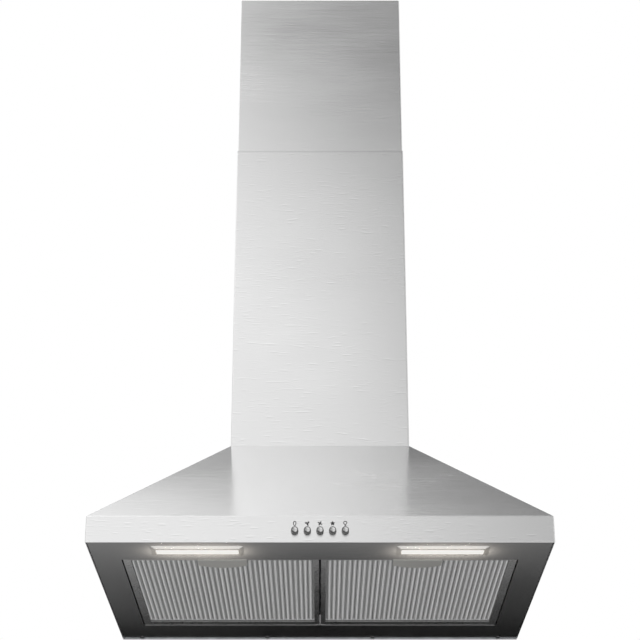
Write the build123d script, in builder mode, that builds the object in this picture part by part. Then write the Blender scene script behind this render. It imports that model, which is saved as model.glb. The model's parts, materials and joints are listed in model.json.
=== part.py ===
from build123d import *
import os
from math import cos, radians, sin

# A wall-hung chimney range hood, in millimetres.
# X runs to the right, Y towards the wall (the wall is the plane y = 0) and Z up.
# The origin is at the middle of the hood's lower edge, on the wall.

# canopy
hood_width = 600.0
hood_depth = 500.0
fascia_height = 35.0
canopy_height = 222.0
canopy_sheet = 0.8
canopy_bend = 1.6
hem_height = 6.0
hem_flat = 0.05
top_flange = 14.0

# chimney
chimney_width = 258.0
chimney_depth = 250.0
chimney_sheet = 0.8
chimney_bend = 1.6
lower_length = 488.0
upper_length = 458.0
chimney_overlap = 180.0
return_flange = 12.0
foot_flange = 12.0
slide_gap = 0.3

# clearances between neighbouring pieces
seat_gap = 0.2
body_gap = 0.3
running_gap = 0.05

# back panel and its wall holes
back_sheet = 1.0
back_flange = 12.0
wall_hole_radius = 4.5
wall_hole_spacing_x = 160.0
wall_hole_spacing_z = 130.0
wall_hole_low = 60.0

# underside panel
panel_sheet = 0.8
panel_recess = 1.5
panel_flange = 4.0
front_strip = 82.1
rear_strip = 79.3
side_strip = 38.7
pocket_flange = 10.0
rest_width = 16.0
rest_reach = 27.7

# grease filters
filter_thickness = 8.0
filter_lift = 0.4
filter_gap = 2.9
filter_edge_gap = 0.5
filter_side_gap = 1.8
rail_outer = 9.9
rail_centre = 6.5
rail_front = 4.0
rail_rear = 18.5
tab_width = 24.0
tab_reach = 10.0
tab_sheet = 1.0
tab_spacing = 160.0
frame_sheet = 0.8
ridge_count = 38
ridge_depth = 2.0
mesh_sheet = 0.7
layer_sink = 0.2
layer_sheet = 0.9

# filter latches
pull_width = 64.3
pull_depth = 34.3
pull_side = 23.0
pull_corner = 3.0
pull_sheet = 1.0
pull_gap = 0.3
bolt_width = 20.0
bolt_sheet = 1.2
bolt_reach = 5.0
bolt_gap = 0.5
nose_flat = 0.05
latch_travel = 5.5
latch_web = 7.0
latch_front_gap = 1.3
latch_wall = 2.0
latch_side_wall = 4.0
latch_roof = 1.2
latch_rear_gap = 9.0
latch_spring_radius = 2.5
latch_spring_wire = 0.3
latch_spring_turns = 6

# lamps
lamp_length = 120.0
lamp_width = 41.0
lamp_front_inset = 20.7
lamp_side_inset = 81.0
lamp_lip = 1.2
lamp_lip_edge = 0.2
lamp_lip_overlap = 3.0
lamp_corner = 4.5
lamp_bevel_front = 8.7
lamp_bevel_rear = 6.0
lamp_bevel_end = 5.5
lamp_wall = 1.5
lamp_height = 12.0
lens_length = 107.0
lens_width = 18.7
lens_shift = 2.9
lens_corner = 1.5
lens_flange = 1.5
lens_thickness = 1.0
lamp_ledge = 5.0
board_sheet = 1.6
board_height = 6.0
led_count = 8
led_size = 3.5
led_height = 0.8

# push buttons and their switch block
button_names = ("off", "speed_1", "speed_2", "speed_3", "lamp")
button_radius = 4.5
button_reach = 7.0
button_pitch = 16.2
button_height = 14.8
button_travel = 3.0
button_hole_gap = 0.3
button_collar = 0.9
button_collar_length = 4.9
button_stem_radius = 1.9
button_stem_length = 10.0
button_edge = 0.6
button_spring_length = 8.0
button_spring_radius = 3.4
button_spring_wire = 0.3
button_spring_turns = 5
button_stem_gap = 0.3
switch_wall = 2.0
switch_end_gap = 1.0

# blower deck and chamber
deck_sheet = 1.0
deck_margin = 3.0
window_width = 26.0
window_end_margin = 18.0
chamber_sheet = 0.8
chamber_gap = 2.0
chamber_flange = 6.0
chamber_height = 249.0

# blower scroll
blower_y = -135.0
blower_lift = 101.0
scroll_start = 76.0
scroll_growth = 26.0
scroll_half_width = 65.0
scroll_wall = 2.0
mouth_depth = 112.0
inlet_radius = 58.0
inlet_lip = 3.0
tongue_angle = 120.0
foot_width = 14.0
foot_spacing = 70.0

# impeller and motor
impeller_radius = 68.0
impeller_half_width = 56.0
blade_count = 36
blade_sheet = 1.0
blade_depth = 11.0
blade_angle = 25.0
rim_width = 2.5
disc_sheet = 2.0
hub_radius = 11.0
hub_length = 14.0
shaft_radius = 4.0
shaft_end = 4.0
motor_radius = 36.0
motor_length = 64.0
motor_disc_gap = 6.0
motor_edge = 3.0
bearing_radius = 9.0
bearing_length = 8.0
bracket_sheet = 2.0
bracket_arm_width = 14.0
bracket_arm_count = 3
grommet_radius = 6.0
grommet_bore = 2.5
grommet_height = 4.0
grommet_ring_offset = 10.0

# outlet collar for a 150 mm duct and its two flaps
collar_y = -98.0
collar_radius = 75.0
collar_wall = 1.6
collar_height = 53.0
collar_flange = 13.0
collar_flange_sheet = 2.0
flap_height = 30.0
flap_sheet = 1.2
flap_gap = 0.9
flap_stop = 4.0
flap_stop_sheet = 1.5
flap_pin_radius = 1.5
flap_knuckle_radius = 3.0
flap_knuckle_length = 20.0
flap_knuckle_gap = 5.0

# control box
box_width = 100.0
box_height = 70.0
box_depth = 42.0
box_wall = 2.0
box_side_inset = 140.0
box_base = 30.0
lid_lip = 3.0
circuit_width = 86.0
circuit_height = 54.0
standoff = 5.0
standoff_radius = 3.0
terminal_width = 34.0
terminal_height = 14.0
terminal_depth = 12.0
capacitor_radius = 8.0
capacitor_length = 34.0
gland_radius = 8.0
gland_bore = 4.0
gland_height = 20.0
gland_shift = -12.0

# lamp driver
driver_width = 80.0
driver_depth = 34.0
driver_height = 20.0
driver_edge = 1.5
driver_setback = 25.0

# upper chimney's wall bracket
bracket_width = 216.0
bracket_height = 40.0
bracket_strip = 1.5
bracket_top_gap = 23.0
bracket_step = 3.0
bracket_ear = 26.0
bracket_hole_radius = 3.0
bracket_hole_spacing = 120.0

# screws
screw_radius = 1.6
screw_head_radius = 3.6
screw_head_height = 1.4
screw_length = 8.0
screw_hole_gap = 0.1
foot_screw_inset = 7.0
foot_screw_y = (-60.0, -200.0)
panel_screw_inner = 80.0
panel_screw_inset = 30.0
panel_screw_y = -9.0

# places that follow from the sizes above
half_width = hood_width / 2
front_y = -hood_depth
half_chimney = chimney_width / 2
top_z = canopy_height
screw_hole = screw_radius + screw_hole_gap
panel_screw_x = (panel_screw_inner, half_width - panel_screw_inset)

panel_low = panel_recess
panel_high = panel_low + panel_sheet
panel_inset = 2 * canopy_sheet + body_gap
opening_half = half_width - side_strip
opening_front = front_y + front_strip
opening_rear = -rear_strip

filter_low = panel_low + filter_lift
filter_high = filter_low + filter_thickness
filter_outer = opening_half - filter_side_gap
filter_inner = filter_gap / 2
filter_front = opening_front + filter_edge_gap
filter_rear = opening_rear - filter_edge_gap
mesh_outer = filter_outer - rail_outer
mesh_inner = filter_inner + rail_centre
mesh_front = filter_front + rail_front
mesh_rear = filter_rear - rail_rear
latch_x = (mesh_outer + mesh_inner) / 2

pull_low = filter_low - pull_gap - pull_sheet
bolt_low = panel_high + bolt_gap
bolt_high = bolt_low + bolt_sheet
bolt_side = bolt_width / 2 + body_gap
web_front = mesh_front + latch_front_gap
web_rear = web_front + latch_web
latch_end = web_rear + latch_travel + latch_rear_gap
latch_half = bolt_side + latch_side_wall

collar_hole = button_radius + button_collar + seat_gap
fascia_inside = hood_depth - canopy_sheet
button_front = hood_depth + button_reach
collar_front = fascia_inside - body_gap
collar_rear = collar_front - button_collar_length
spring_rear = collar_rear - button_spring_length
stem_rear = collar_rear - button_stem_length
stem_end = stem_rear - button_travel - switch_end_gap
switch_half = (len(button_names) - 1) / 2 * button_pitch + collar_hole + switch_wall

lamp_x = half_width - lamp_side_inset - lamp_length / 2
lamp_y = front_y + lamp_front_inset + lamp_width / 2
lamp_cut_length = lamp_length - 2 * lamp_lip_overlap
lamp_cut_width = lamp_width - 2 * lamp_lip_overlap
lamp_body_length = lamp_cut_length - 2 * seat_gap
lamp_body_width = lamp_cut_width - 2 * seat_gap
lamp_low = panel_low - lamp_lip
lamp_flat_length = lamp_length - 2 * lamp_bevel_end
lamp_flat_width = lamp_width - lamp_bevel_front - lamp_bevel_rear
lamp_flat_y = lamp_y + (lamp_bevel_front - lamp_bevel_rear) / 2
board_low = panel_low + board_height

deck_top = top_z - canopy_sheet
deck_low = deck_top - deck_sheet
deck_rear = -(back_sheet + back_flange + body_gap)
chamber_half = half_chimney - top_flange - chamber_gap
chamber_front = -(chimney_depth - top_flange - chamber_gap)
chamber_rear = -(top_flange + chamber_gap)
chamber_top = deck_top + chamber_height
chamber_inside = chamber_top - chamber_sheet

blower_z = deck_top + blower_lift
scroll_turn = 360.0 - tongue_angle
mouth_rear = blower_y + scroll_start + scroll_growth
mouth_front = mouth_rear - mouth_depth
cover_face = -scroll_half_width - scroll_wall
bracket_face = cover_face - grommet_height
bracket_end = bracket_face - bracket_sheet
motor_right = bracket_face + motor_length
hub_left = motor_right + motor_disc_gap / 2
disc_left = hub_left + disc_sheet
disc_right = disc_left + disc_sheet
grommet_ring = inlet_radius + grommet_ring_offset
shaft_left = bracket_end - shaft_end
shaft_right = hub_left + hub_length + shaft_end

collar_base = chamber_top + collar_flange_sheet
collar_top = collar_base + collar_height
collar_inside = collar_radius - collar_wall
flap_z = chamber_top + flap_height
flap_radius = collar_inside - flap_gap
flap_edge = flap_knuckle_radius + body_gap
flap_stop_top = flap_z - flap_sheet / 2 - body_gap
knuckle_pitch = flap_knuckle_length + flap_knuckle_gap

upper_inset = chimney_sheet + slide_gap
upper_width = chimney_width - 2 * upper_inset
upper_base = top_z + lower_length - chimney_overlap
upper_top = upper_base + upper_length
upper_inside = upper_width / 2 - chimney_sheet
bracket_z = upper_top - bracket_top_gap - bracket_height / 2
bracket_web = bracket_strip + bracket_step
ear_y = -(bracket_web + bracket_ear) / 2
foot_screw_x = half_chimney - foot_screw_inset

box_side_x = half_width - box_side_inset
box_rear = back_sheet
box_front = box_rear + box_depth
box_top = box_base + box_height
gland_x = box_side_x + gland_shift
gland_y = -(box_rear + box_front) / 2

os.makedirs("parts", exist_ok=True)


def block(low, high, mode=Mode.ADD):
    """A block between two opposite corners, in the part that is being built."""
    with BuildSketch(Plane.XY.offset(low[2])) as base:
        with Locations(((low[0] + high[0]) / 2, (low[1] + high[1]) / 2)):
            Rectangle(high[0] - low[0], high[1] - low[1])
    extrude(base.sketch, amount=high[2] - low[2], mode=mode)


def rod_x(start, end, y, z, radius, mode=Mode.ADD):
    """A round bar or bore along X."""
    with BuildSketch(Plane.YZ.offset(start)) as section:
        with Locations((y, z)):
            Circle(radius)
    extrude(section.sketch, amount=end - start, mode=mode)


def rod_y(start, end, x, z, radius, mode=Mode.ADD):
    """A round bar or bore along Y, where start and end are distances from the wall."""
    with BuildSketch(Plane.XZ.offset(start)) as section:
        with Locations((x, z)):
            Circle(radius)
    extrude(section.sketch, amount=end - start, mode=mode)


def rod_z(start, end, x, y, radius, mode=Mode.ADD):
    """A round bar or bore along Z."""
    with BuildSketch(Plane.XY.offset(start)) as section:
        with Locations((x, y)):
            Circle(radius)
    extrude(section.sketch, amount=end - start, mode=mode)


def coil(start, direction, length, radius, wire, turns):
    """A helical spring of round wire; radius is that of the wire's middle line."""
    rise = length - 2 * (wire + running_gap)
    base = Vector(*start) + Vector(*direction) * (wire + running_gap)
    with BuildLine() as path:
        Helix(rise / turns, rise, radius, center=base, direction=direction)
    with BuildSketch(Plane(origin=path.line @ 0, z_dir=path.line % 0)) as section:
        Circle(wire)
    sweep(section.sketch, path=path.line, is_frenet=True)


# Canopy: one folded sheet with a fascia, two sides and three slopes. Its lower edge has a
# hem, the sheet folded back on itself with a round fold.
with BuildPart() as canopy_shell:
    with BuildSketch(Plane.XY):
        Rectangle(hood_width, hood_depth, align=(Align.CENTER, Align.MAX))
    extrude(amount=fascia_height)
    with BuildSketch(Plane.XY.offset(fascia_height)):
        Rectangle(hood_width, hood_depth, align=(Align.CENTER, Align.MAX))
    with BuildSketch(Plane.XY.offset(top_z)):
        Rectangle(chimney_width, chimney_depth, align=(Align.CENTER, Align.MAX))
    loft()
    rims = canopy_shell.faces().filter_by(Axis.Z).edges()
    rims += canopy_shell.faces().filter_by(Axis.Y).sort_by(Axis.Y)[-1].edges()
    folds = [edge for edge in canopy_shell.edges() if edge not in rims]
    fillet(folds, radius=canopy_bend)
    underside = canopy_shell.faces().sort_by(Axis.Z)[0]
    rear = canopy_shell.faces().sort_by(Axis.Y)[-1]
    offset(amount=-canopy_sheet, openings=[underside, rear])
    block(
        (-half_chimney + top_flange, -chimney_depth + top_flange, deck_top - canopy_sheet),
        (half_chimney - top_flange, -top_flange, top_z + canopy_sheet),
        mode=Mode.SUBTRACT,
    )
    with BuildSketch(Plane.XZ.offset(hood_depth)):
        with Locations((0, button_height)):
            with GridLocations(button_pitch, 0, len(button_names), 1):
                Circle(button_radius + button_hole_gap)
    extrude(amount=-2 * canopy_sheet, mode=Mode.SUBTRACT)
    for screw_x in (-foot_screw_x, foot_screw_x):
        for screw_y in foot_screw_y:
            rod_z(deck_low, top_z + canopy_sheet, screw_x, screw_y, screw_hole, Mode.SUBTRACT)
    hem_half = half_width - 2 * canopy_bend
    hem_front = front_y + 2 * canopy_bend
    hem_inside = half_width - 2 * canopy_sheet
    block(
        (-hem_half, front_y + canopy_sheet, 0),
        (hem_half, front_y + 2 * canopy_sheet, hem_height),
    )
    for side in (-1, 1):
        edge = sorted((side * hem_inside, side * (half_width - canopy_sheet)))
        block((edge[0], hem_front, 0), (edge[1], deck_rear, hem_height))
    lower_rim = canopy_shell.faces().sort_by(Axis.Z)[0].edges()
    long_edges = [edge for edge in lower_rim if edge.length > canopy_bend + hem_flat]
    hem_edges = [edge for edge in long_edges if edge.center().Y < deck_rear]
    fillet(hem_edges, radius=canopy_sheet - hem_flat)
canopy_shell.part.label = "canopy_shell"
export_step(canopy_shell.part, "parts/canopy_shell.step")


def rear_outline(base, inset):
    """The canopy's rear opening above the height base, with its other sides moved in by inset."""
    with BuildSketch(mode=Mode.PRIVATE) as outline:
        with BuildLine():
            Polyline(
                (-half_width, base - inset),
                (half_width, base - inset),
                (half_width, fascia_height),
                (half_chimney, top_z),
                (-half_chimney, top_z),
                (-half_width, fascia_height),
                close=True,
            )
        make_face()
        offset(amount=-inset, kind=Kind.INTERSECTION)
    return outline.sketch


# Back panel: a galvanised pan in the canopy's rear opening, with the wall screw holes.
with BuildPart() as back_panel:
    with BuildSketch(Plane.XZ):
        add(rear_outline(0, canopy_sheet + seat_gap))
        with Locations((0, wall_hole_low + wall_hole_spacing_z / 2)):
            with GridLocations(wall_hole_spacing_x, wall_hole_spacing_z, 2, 2):
                Circle(wall_hole_radius, mode=Mode.SUBTRACT)
    extrude(amount=back_sheet)
    with BuildSketch(Plane.XZ.offset(back_sheet)):
        add(rear_outline(panel_high, canopy_sheet + seat_gap))
        add(
            rear_outline(panel_high + back_sheet, canopy_sheet + seat_gap + back_sheet),
            mode=Mode.SUBTRACT,
        )
    extrude(amount=back_flange)
    for screw_x in panel_screw_x:
        for x in (-screw_x, screw_x):
            rod_z(panel_low, panel_high + 2 * back_sheet, x, panel_screw_y, screw_hole, Mode.SUBTRACT)
back_panel.part.label = "back_panel"
export_step(back_panel.part, "parts/back_panel.step")

# Underside panel: flat sheet with the filter opening, two lamp cut-outs and upturned edges.
# A tongue at the middle of the opening's rear edge bends up and forward over both filters.
with BuildPart() as underside_panel:
    panel_half = half_width - panel_inset
    panel_front = front_y + panel_inset
    panel_rear = -(back_sheet + body_gap)
    flange_rear = deck_rear - body_gap
    flange_top = panel_high + panel_flange
    with BuildSketch(Plane.XY.offset(panel_low)):
        with Locations((0, (panel_front + panel_rear) / 2)):
            outer = Rectangle(2 * panel_half, panel_rear - panel_front)
        fillet(outer.vertices(), radius=canopy_bend - canopy_sheet + seat_gap)
        with Locations((0, (opening_front + opening_rear) / 2)):
            Rectangle(2 * opening_half, opening_rear - opening_front, mode=Mode.SUBTRACT)
        with Locations((-lamp_x, lamp_y), (lamp_x, lamp_y)):
            Rectangle(lamp_cut_length, lamp_cut_width, mode=Mode.SUBTRACT)
        for screw_x in panel_screw_x:
            with Locations((-screw_x, panel_screw_y), (screw_x, panel_screw_y)):
                Circle(screw_hole, mode=Mode.SUBTRACT)
    extrude(amount=panel_sheet)
    block(
        (-panel_half + canopy_bend, panel_front, panel_high),
        (panel_half - canopy_bend, panel_front + panel_sheet, flange_top),
    )
    for side in (-1, 1):
        edge = sorted((side * (panel_half - panel_sheet), side * panel_half))
        block((edge[0], panel_front + canopy_bend, panel_high), (edge[1], flange_rear, flange_top))
        edge = sorted((side * opening_half, side * (opening_half + panel_sheet)))
        block((edge[0], opening_front, panel_high), (edge[1], opening_rear, panel_high + pocket_flange))
    rest_half = rest_width / 2
    rest_low = filter_high + body_gap
    rest_high = rest_low + panel_sheet
    block(
        (-rest_half, opening_rear, panel_low),
        (rest_half, opening_rear + panel_sheet, rest_high),
    )
    block((-rest_half, opening_rear - rest_reach, rest_low), (rest_half, opening_rear, rest_high))
underside_panel.part.label = "underside_panel"
export_step(underside_panel.part, "parts/underside_panel.step")

# Push-button switch block behind the fascia.
with BuildPart() as switch_housing:
    switch_low = button_height - collar_hole - switch_wall
    switch_high = button_height + collar_hole + switch_wall
    block(
        (-switch_half, -fascia_inside, switch_low),
        (switch_half, -(stem_end - switch_wall), switch_high),
    )
    for number in range(len(button_names)):
        x = (number - (len(button_names) - 1) / 2) * button_pitch
        rod_y(spring_rear, fascia_inside, x, button_height, collar_hole, Mode.SUBTRACT)
        stem_hole = button_stem_radius + button_stem_gap
        rod_y(stem_end, fascia_inside, x, button_height, stem_hole, Mode.SUBTRACT)
switch_housing.part.label = "switch_housing"
export_step(switch_housing.part, "parts/switch_housing.step")

# Five buttons: a cap through the fascia, a collar that keeps it in, and a stem.
for number, button_name in enumerate(button_names):
    x = (number - (len(button_names) - 1) / 2) * button_pitch
    with BuildPart() as button:
        rod_y(stem_rear, collar_rear, x, button_height, button_stem_radius)
        rod_y(collar_rear, collar_front, x, button_height, button_radius + button_collar)
        rod_y(collar_front, button_front, x, button_height, button_radius)
        fillet(button.faces().sort_by(Axis.Y)[0].edges(), radius=button_edge)
    button.part.label = "button_" + button_name
    export_step(button.part, "parts/button_" + button_name + ".step")
    with BuildPart() as button_spring:
        coil(
            (x, -spring_rear, button_height),
            (0, -1, 0),
            button_spring_length,
            button_spring_radius,
            button_spring_wire,
            button_spring_turns,
        )
    button_spring.part.label = "button_spring_" + button_name
    export_step(button_spring.part, "parts/button_spring_" + button_name + ".step")

# Lamps: a bezel with a bevelled lip, a lens seated in the lip, and a board of diodes above.
for side, side_name in ((-1, "left"), (1, "right")):
    with BuildPart() as lamp_bezel:
        with BuildSketch(Plane.XY.offset(lamp_low)):
            with Locations((side * lamp_x, lamp_flat_y)):
                RectangleRounded(lamp_flat_length, lamp_flat_width, lens_corner)
        with BuildSketch(Plane.XY.offset(panel_low - lamp_lip_edge)):
            with Locations((side * lamp_x, lamp_y)):
                RectangleRounded(lamp_length, lamp_width, lamp_corner)
        loft(ruled=True)
        with BuildSketch(Plane.XY.offset(panel_low - lamp_lip_edge)):
            with Locations((side * lamp_x, lamp_y)):
                RectangleRounded(lamp_length, lamp_width, lamp_corner)
        extrude(amount=lamp_lip_edge)
        with BuildSketch(Plane.XY.offset(panel_low)):
            with Locations((side * lamp_x, lamp_y)):
                Rectangle(lamp_body_length, lamp_body_width)
                Rectangle(
                    lamp_body_length - 2 * lamp_wall,
                    lamp_body_width - 2 * lamp_wall,
                    mode=Mode.SUBTRACT,
                )
        extrude(amount=lamp_height)
        with BuildSketch(Plane.XY.offset(lamp_low)):
            with Locations((side * lamp_x, lamp_y + lens_shift)):
                RectangleRounded(lens_length, lens_width, lens_corner)
        extrude(amount=lamp_lip, mode=Mode.SUBTRACT)
        with BuildSketch(Plane.XY.offset(panel_low + lens_thickness + seat_gap)):
            with Locations((side * lamp_x, lamp_y)):
                with GridLocations(
                    lamp_body_length - 2 * lamp_wall - lamp_ledge,
                    lamp_body_width - 2 * lamp_wall - lamp_ledge,
                    2,
                    2,
                ):
                    Rectangle(lamp_ledge, lamp_ledge)
        extrude(amount=board_height - lens_thickness - seat_gap)
    lamp_bezel.part.label = "lamp_bezel_" + side_name
    export_step(lamp_bezel.part, "parts/lamp_bezel_" + side_name + ".step")

    with BuildPart() as lamp_lens:
        with BuildSketch(Plane.XY.offset(panel_low)):
            with Locations((side * lamp_x, lamp_y + lens_shift)):
                Rectangle(lens_length + 2 * lens_flange, lens_width + 2 * lens_flange)
        extrude(amount=lens_thickness)
        with BuildSketch(Plane.XY.offset(lamp_low + seat_gap)):
            with Locations((side * lamp_x, lamp_y + lens_shift)):
                RectangleRounded(
                    lens_length - 2 * seat_gap,
                    lens_width - 2 * seat_gap,
                    lens_corner - seat_gap,
                )
        extrude(amount=lamp_lip - seat_gap)
    lamp_lens.part.label = "lamp_lens_" + side_name
    export_step(lamp_lens.part, "parts/lamp_lens_" + side_name + ".step")

    with BuildPart() as lamp_board:
        board_length = lamp_body_length - 2 * lamp_wall - 2 * seat_gap
        with BuildSketch(Plane.XY.offset(board_low)):
            with Locations((side * lamp_x, lamp_y)):
                Rectangle(board_length, lamp_body_width - 2 * lamp_wall - 2 * seat_gap)
        extrude(amount=board_sheet)
        with BuildSketch(Plane.XY.offset(board_low)):
            with Locations((side * lamp_x, lamp_y + lens_shift)):
                with GridLocations(lens_length / led_count, 0, led_count, 1):
                    Rectangle(led_size, led_size)
        extrude(amount=-led_height)
    lamp_board.part.label = "lamp_board_" + side_name
    export_step(lamp_board.part, "parts/lamp_board_" + side_name + ".step")

# Lamp driver on the front strip of the underside panel, between the lamps.
with BuildPart() as lamp_driver:
    block(
        (-driver_width / 2, front_y + driver_setback, panel_high),
        (driver_width / 2, front_y + driver_setback + driver_depth, panel_high + driver_height),
    )
    fillet(lamp_driver.edges().filter_by(Axis.Z), radius=driver_edge)
lamp_driver.part.label = "lamp_driver"
export_step(lamp_driver.part, "parts/lamp_driver.step")


def ridged_sheet(start, end, edge_z, middle_z):
    """A zigzag sheet in section: its ridges start and end at edge_z and turn at middle_z."""
    pitch = (end - start) / ridge_count
    line = []
    for place in range(2 * ridge_count + 1):
        line.append((start + place * pitch / 2, middle_z if place % 2 else edge_z))
    back = [(x, z + mesh_sheet) for x, z in reversed(line)]
    with BuildSketch(mode=Mode.PRIVATE) as section:
        with BuildLine():
            Polyline(*line, *back, close=True)
        make_face()
    return section.sketch


# Grease filters, each with its frame, mesh pack, latch housing, latch and spring.
# A filter tilts about its round rear edge, with two tabs over the panel's rear strip.
hinge_y = filter_rear - filter_thickness / 2
hinge_z = (filter_low + filter_high) / 2
housing_low = filter_low + body_gap
housing_high = filter_high - body_gap
cavity_high = housing_high - latch_roof
for side, side_name in ((-1, "left"), (1, "right")):
    outer_x = side * filter_outer
    inner_x = side * filter_inner
    centre_x = side * latch_x
    low_x = min(outer_x, inner_x)
    high_x = max(outer_x, inner_x)
    mesh_low_x = min(side * mesh_outer, side * mesh_inner)
    mesh_high_x = max(side * mesh_outer, side * mesh_inner)

    with BuildPart() as filter_frame:
        block((low_x, filter_front, filter_low), (high_x, hinge_y, filter_high))
        block(
            (low_x + frame_sheet, filter_front + frame_sheet, filter_low + frame_sheet),
            (high_x - frame_sheet, hinge_y, filter_high - frame_sheet),
            mode=Mode.SUBTRACT,
        )
        rod_x(low_x, high_x, hinge_y, hinge_z, filter_thickness / 2)
        block(
            (mesh_low_x, mesh_front, filter_low - body_gap),
            (mesh_high_x, mesh_rear, filter_high + body_gap),
            mode=Mode.SUBTRACT,
        )
        block(
            (centre_x - bolt_side, filter_front - body_gap, filter_low - body_gap),
            (centre_x + bolt_side, mesh_front + body_gap, bolt_high + body_gap),
            mode=Mode.SUBTRACT,
        )
        tab_low = panel_high + body_gap
        for tab_x in (centre_x - tab_spacing / 2, centre_x + tab_spacing / 2):
            block(
                (tab_x - tab_width / 2, hinge_y, tab_low),
                (tab_x + tab_width / 2, filter_rear + tab_reach, tab_low + tab_sheet),
            )
    filter_frame.part.label = "filter_frame_" + side_name
    export_step(filter_frame.part, "parts/filter_frame_" + side_name + ".step")

    with BuildPart() as filter_mesh:
        mesh_start = low_x + frame_sheet + seat_gap
        mesh_end = high_x - frame_sheet - seat_gap
        mesh_back = hinge_y - filter_thickness / 2 - seat_gap
        mesh_length = mesh_back - filter_front - frame_sheet - seat_gap
        first_low = filter_low + frame_sheet + seat_gap
        layer_low = first_low + ridge_depth + mesh_sheet - layer_sink
        second_low = layer_low + layer_sheet - layer_sink
        with BuildSketch(Plane.XZ.offset(-mesh_back)):
            add(ridged_sheet(mesh_start, mesh_end, first_low + ridge_depth, first_low))
            add(ridged_sheet(mesh_start, mesh_end, second_low, second_low + ridge_depth))
            with Locations(((mesh_start + mesh_end) / 2, layer_low + layer_sheet / 2)):
                Rectangle(mesh_end - mesh_start, layer_sheet)
        extrude(amount=mesh_length)
        block(
            (centre_x - latch_half - seat_gap, filter_front, filter_low),
            (centre_x + latch_half + seat_gap, latch_end + latch_wall + seat_gap, filter_high),
            mode=Mode.SUBTRACT,
        )
    filter_mesh.part.label = "filter_mesh_" + side_name
    export_step(filter_mesh.part, "parts/filter_mesh_" + side_name + ".step")

    with BuildPart() as latch_housing:
        block(
            (centre_x - latch_half, mesh_front, housing_low),
            (centre_x + latch_half, latch_end + latch_wall, housing_high),
        )
        block(
            (centre_x - bolt_side, mesh_front, housing_low),
            (centre_x + bolt_side, latch_end, cavity_high),
            mode=Mode.SUBTRACT,
        )
    latch_housing.part.label = "latch_housing_" + side_name
    export_step(latch_housing.part, "parts/latch_housing_" + side_name + ".step")

    with BuildPart() as latch_pull:
        pull_front = filter_front + seat_gap
        left_end = (centre_x - pull_width / 2, pull_front + pull_side)
        right_end = (centre_x + pull_width / 2, pull_front + pull_side)
        with BuildSketch(Plane.XY.offset(pull_low)) as pull_outline:
            with BuildLine():
                Polyline(left_end, (left_end[0], pull_front), (right_end[0], pull_front), right_end)
                ThreePointArc(left_end, (centre_x, pull_front + pull_depth), right_end)
            make_face()
            fillet(pull_outline.vertices().group_by(Axis.Y)[-1], radius=pull_corner)
        extrude(amount=pull_sheet)
        pull_high = pull_low + pull_sheet
        block(
            (centre_x - bolt_width / 2, web_front, pull_high),
            (centre_x + bolt_width / 2, web_rear, cavity_high - body_gap),
        )
        block(
            (centre_x - bolt_width / 2, opening_front - bolt_reach, bolt_low),
            (centre_x + bolt_width / 2, web_front, bolt_high),
        )
        nose = latch_pull.faces().sort_by(Axis.Y)[0]
        fillet(nose.edges().filter_by(Axis.X), radius=bolt_sheet / 2 - nose_flat)
    latch_pull.part.label = "latch_pull_" + side_name
    export_step(latch_pull.part, "parts/latch_pull_" + side_name + ".step")

    with BuildPart() as latch_spring:
        coil(
            (centre_x, web_rear, (housing_low + cavity_high) / 2),
            (0, 1, 0),
            latch_end - web_rear,
            latch_spring_radius,
            latch_spring_wire,
            latch_spring_turns,
        )
    latch_spring.part.label = "latch_spring_" + side_name
    export_step(latch_spring.part, "parts/latch_spring_" + side_name + ".step")

# Blower deck: the plate under the canopy's top flange, with an air window beside each inlet.
with BuildPart() as blower_deck:
    window_outer = chamber_half - chamber_sheet - chamber_flange
    window_length = chamber_rear - chamber_front - 2 * (chamber_flange + window_end_margin)
    with BuildSketch(Plane.XY.offset(deck_low)):
        with Locations((0, (deck_rear - chimney_depth + deck_margin) / 2)):
            Rectangle(2 * (half_chimney - deck_margin), chimney_depth - deck_margin + deck_rear)
        with Locations((0, (chamber_front + chamber_rear) / 2)):
            with GridLocations(2 * window_outer - window_width, 0, 2, 1):
                Rectangle(window_width, window_length, mode=Mode.SUBTRACT)
        for screw_y in foot_screw_y:
            with Locations((-foot_screw_x, screw_y), (foot_screw_x, screw_y)):
                Circle(screw_hole, mode=Mode.SUBTRACT)
    extrude(amount=deck_sheet)
blower_deck.part.label = "blower_deck"
export_step(blower_deck.part, "parts/blower_deck.step")

# Blower chamber: the box round the scroll, open to the deck's windows below.
with BuildPart() as blower_chamber:
    block((-chamber_half, chamber_front, deck_top), (chamber_half, chamber_rear, chamber_top))
    hollow = chamber_sheet
    block(
        (-chamber_half + hollow, chamber_front + hollow, deck_top + hollow),
        (chamber_half - hollow, chamber_rear - hollow, chamber_inside),
        mode=Mode.SUBTRACT,
    )
    rim = chamber_sheet + chamber_flange
    block(
        (-chamber_half + rim, chamber_front + rim, deck_top - hollow),
        (chamber_half - rim, chamber_rear - rim, deck_top + 2 * hollow),
        mode=Mode.SUBTRACT,
    )
    rod_z(chamber_inside, chamber_top, 0, collar_y, collar_inside, Mode.SUBTRACT)
blower_chamber.part.label = "blower_chamber"
export_step(blower_chamber.part, "parts/blower_chamber.step")


def scroll_profile(grow):
    """The scroll's spiral and its mouth on the YZ plane, moved out by grow."""
    steps = 8
    points = []
    for step in range(steps + 1):
        turn = step / steps
        angle = radians(tongue_angle + scroll_turn * turn)
        radius = scroll_start + scroll_growth * turn + grow
        points.append((blower_y + radius * cos(angle), blower_z + radius * sin(angle)))
    with BuildSketch(mode=Mode.PRIVATE) as profile:
        with BuildLine():
            Spline(*points)
            Polyline(
                points[-1],
                (mouth_rear + grow, chamber_inside),
                (mouth_front - grow, chamber_inside),
                points[0],
            )
        make_face()
    return profile.sketch


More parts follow.
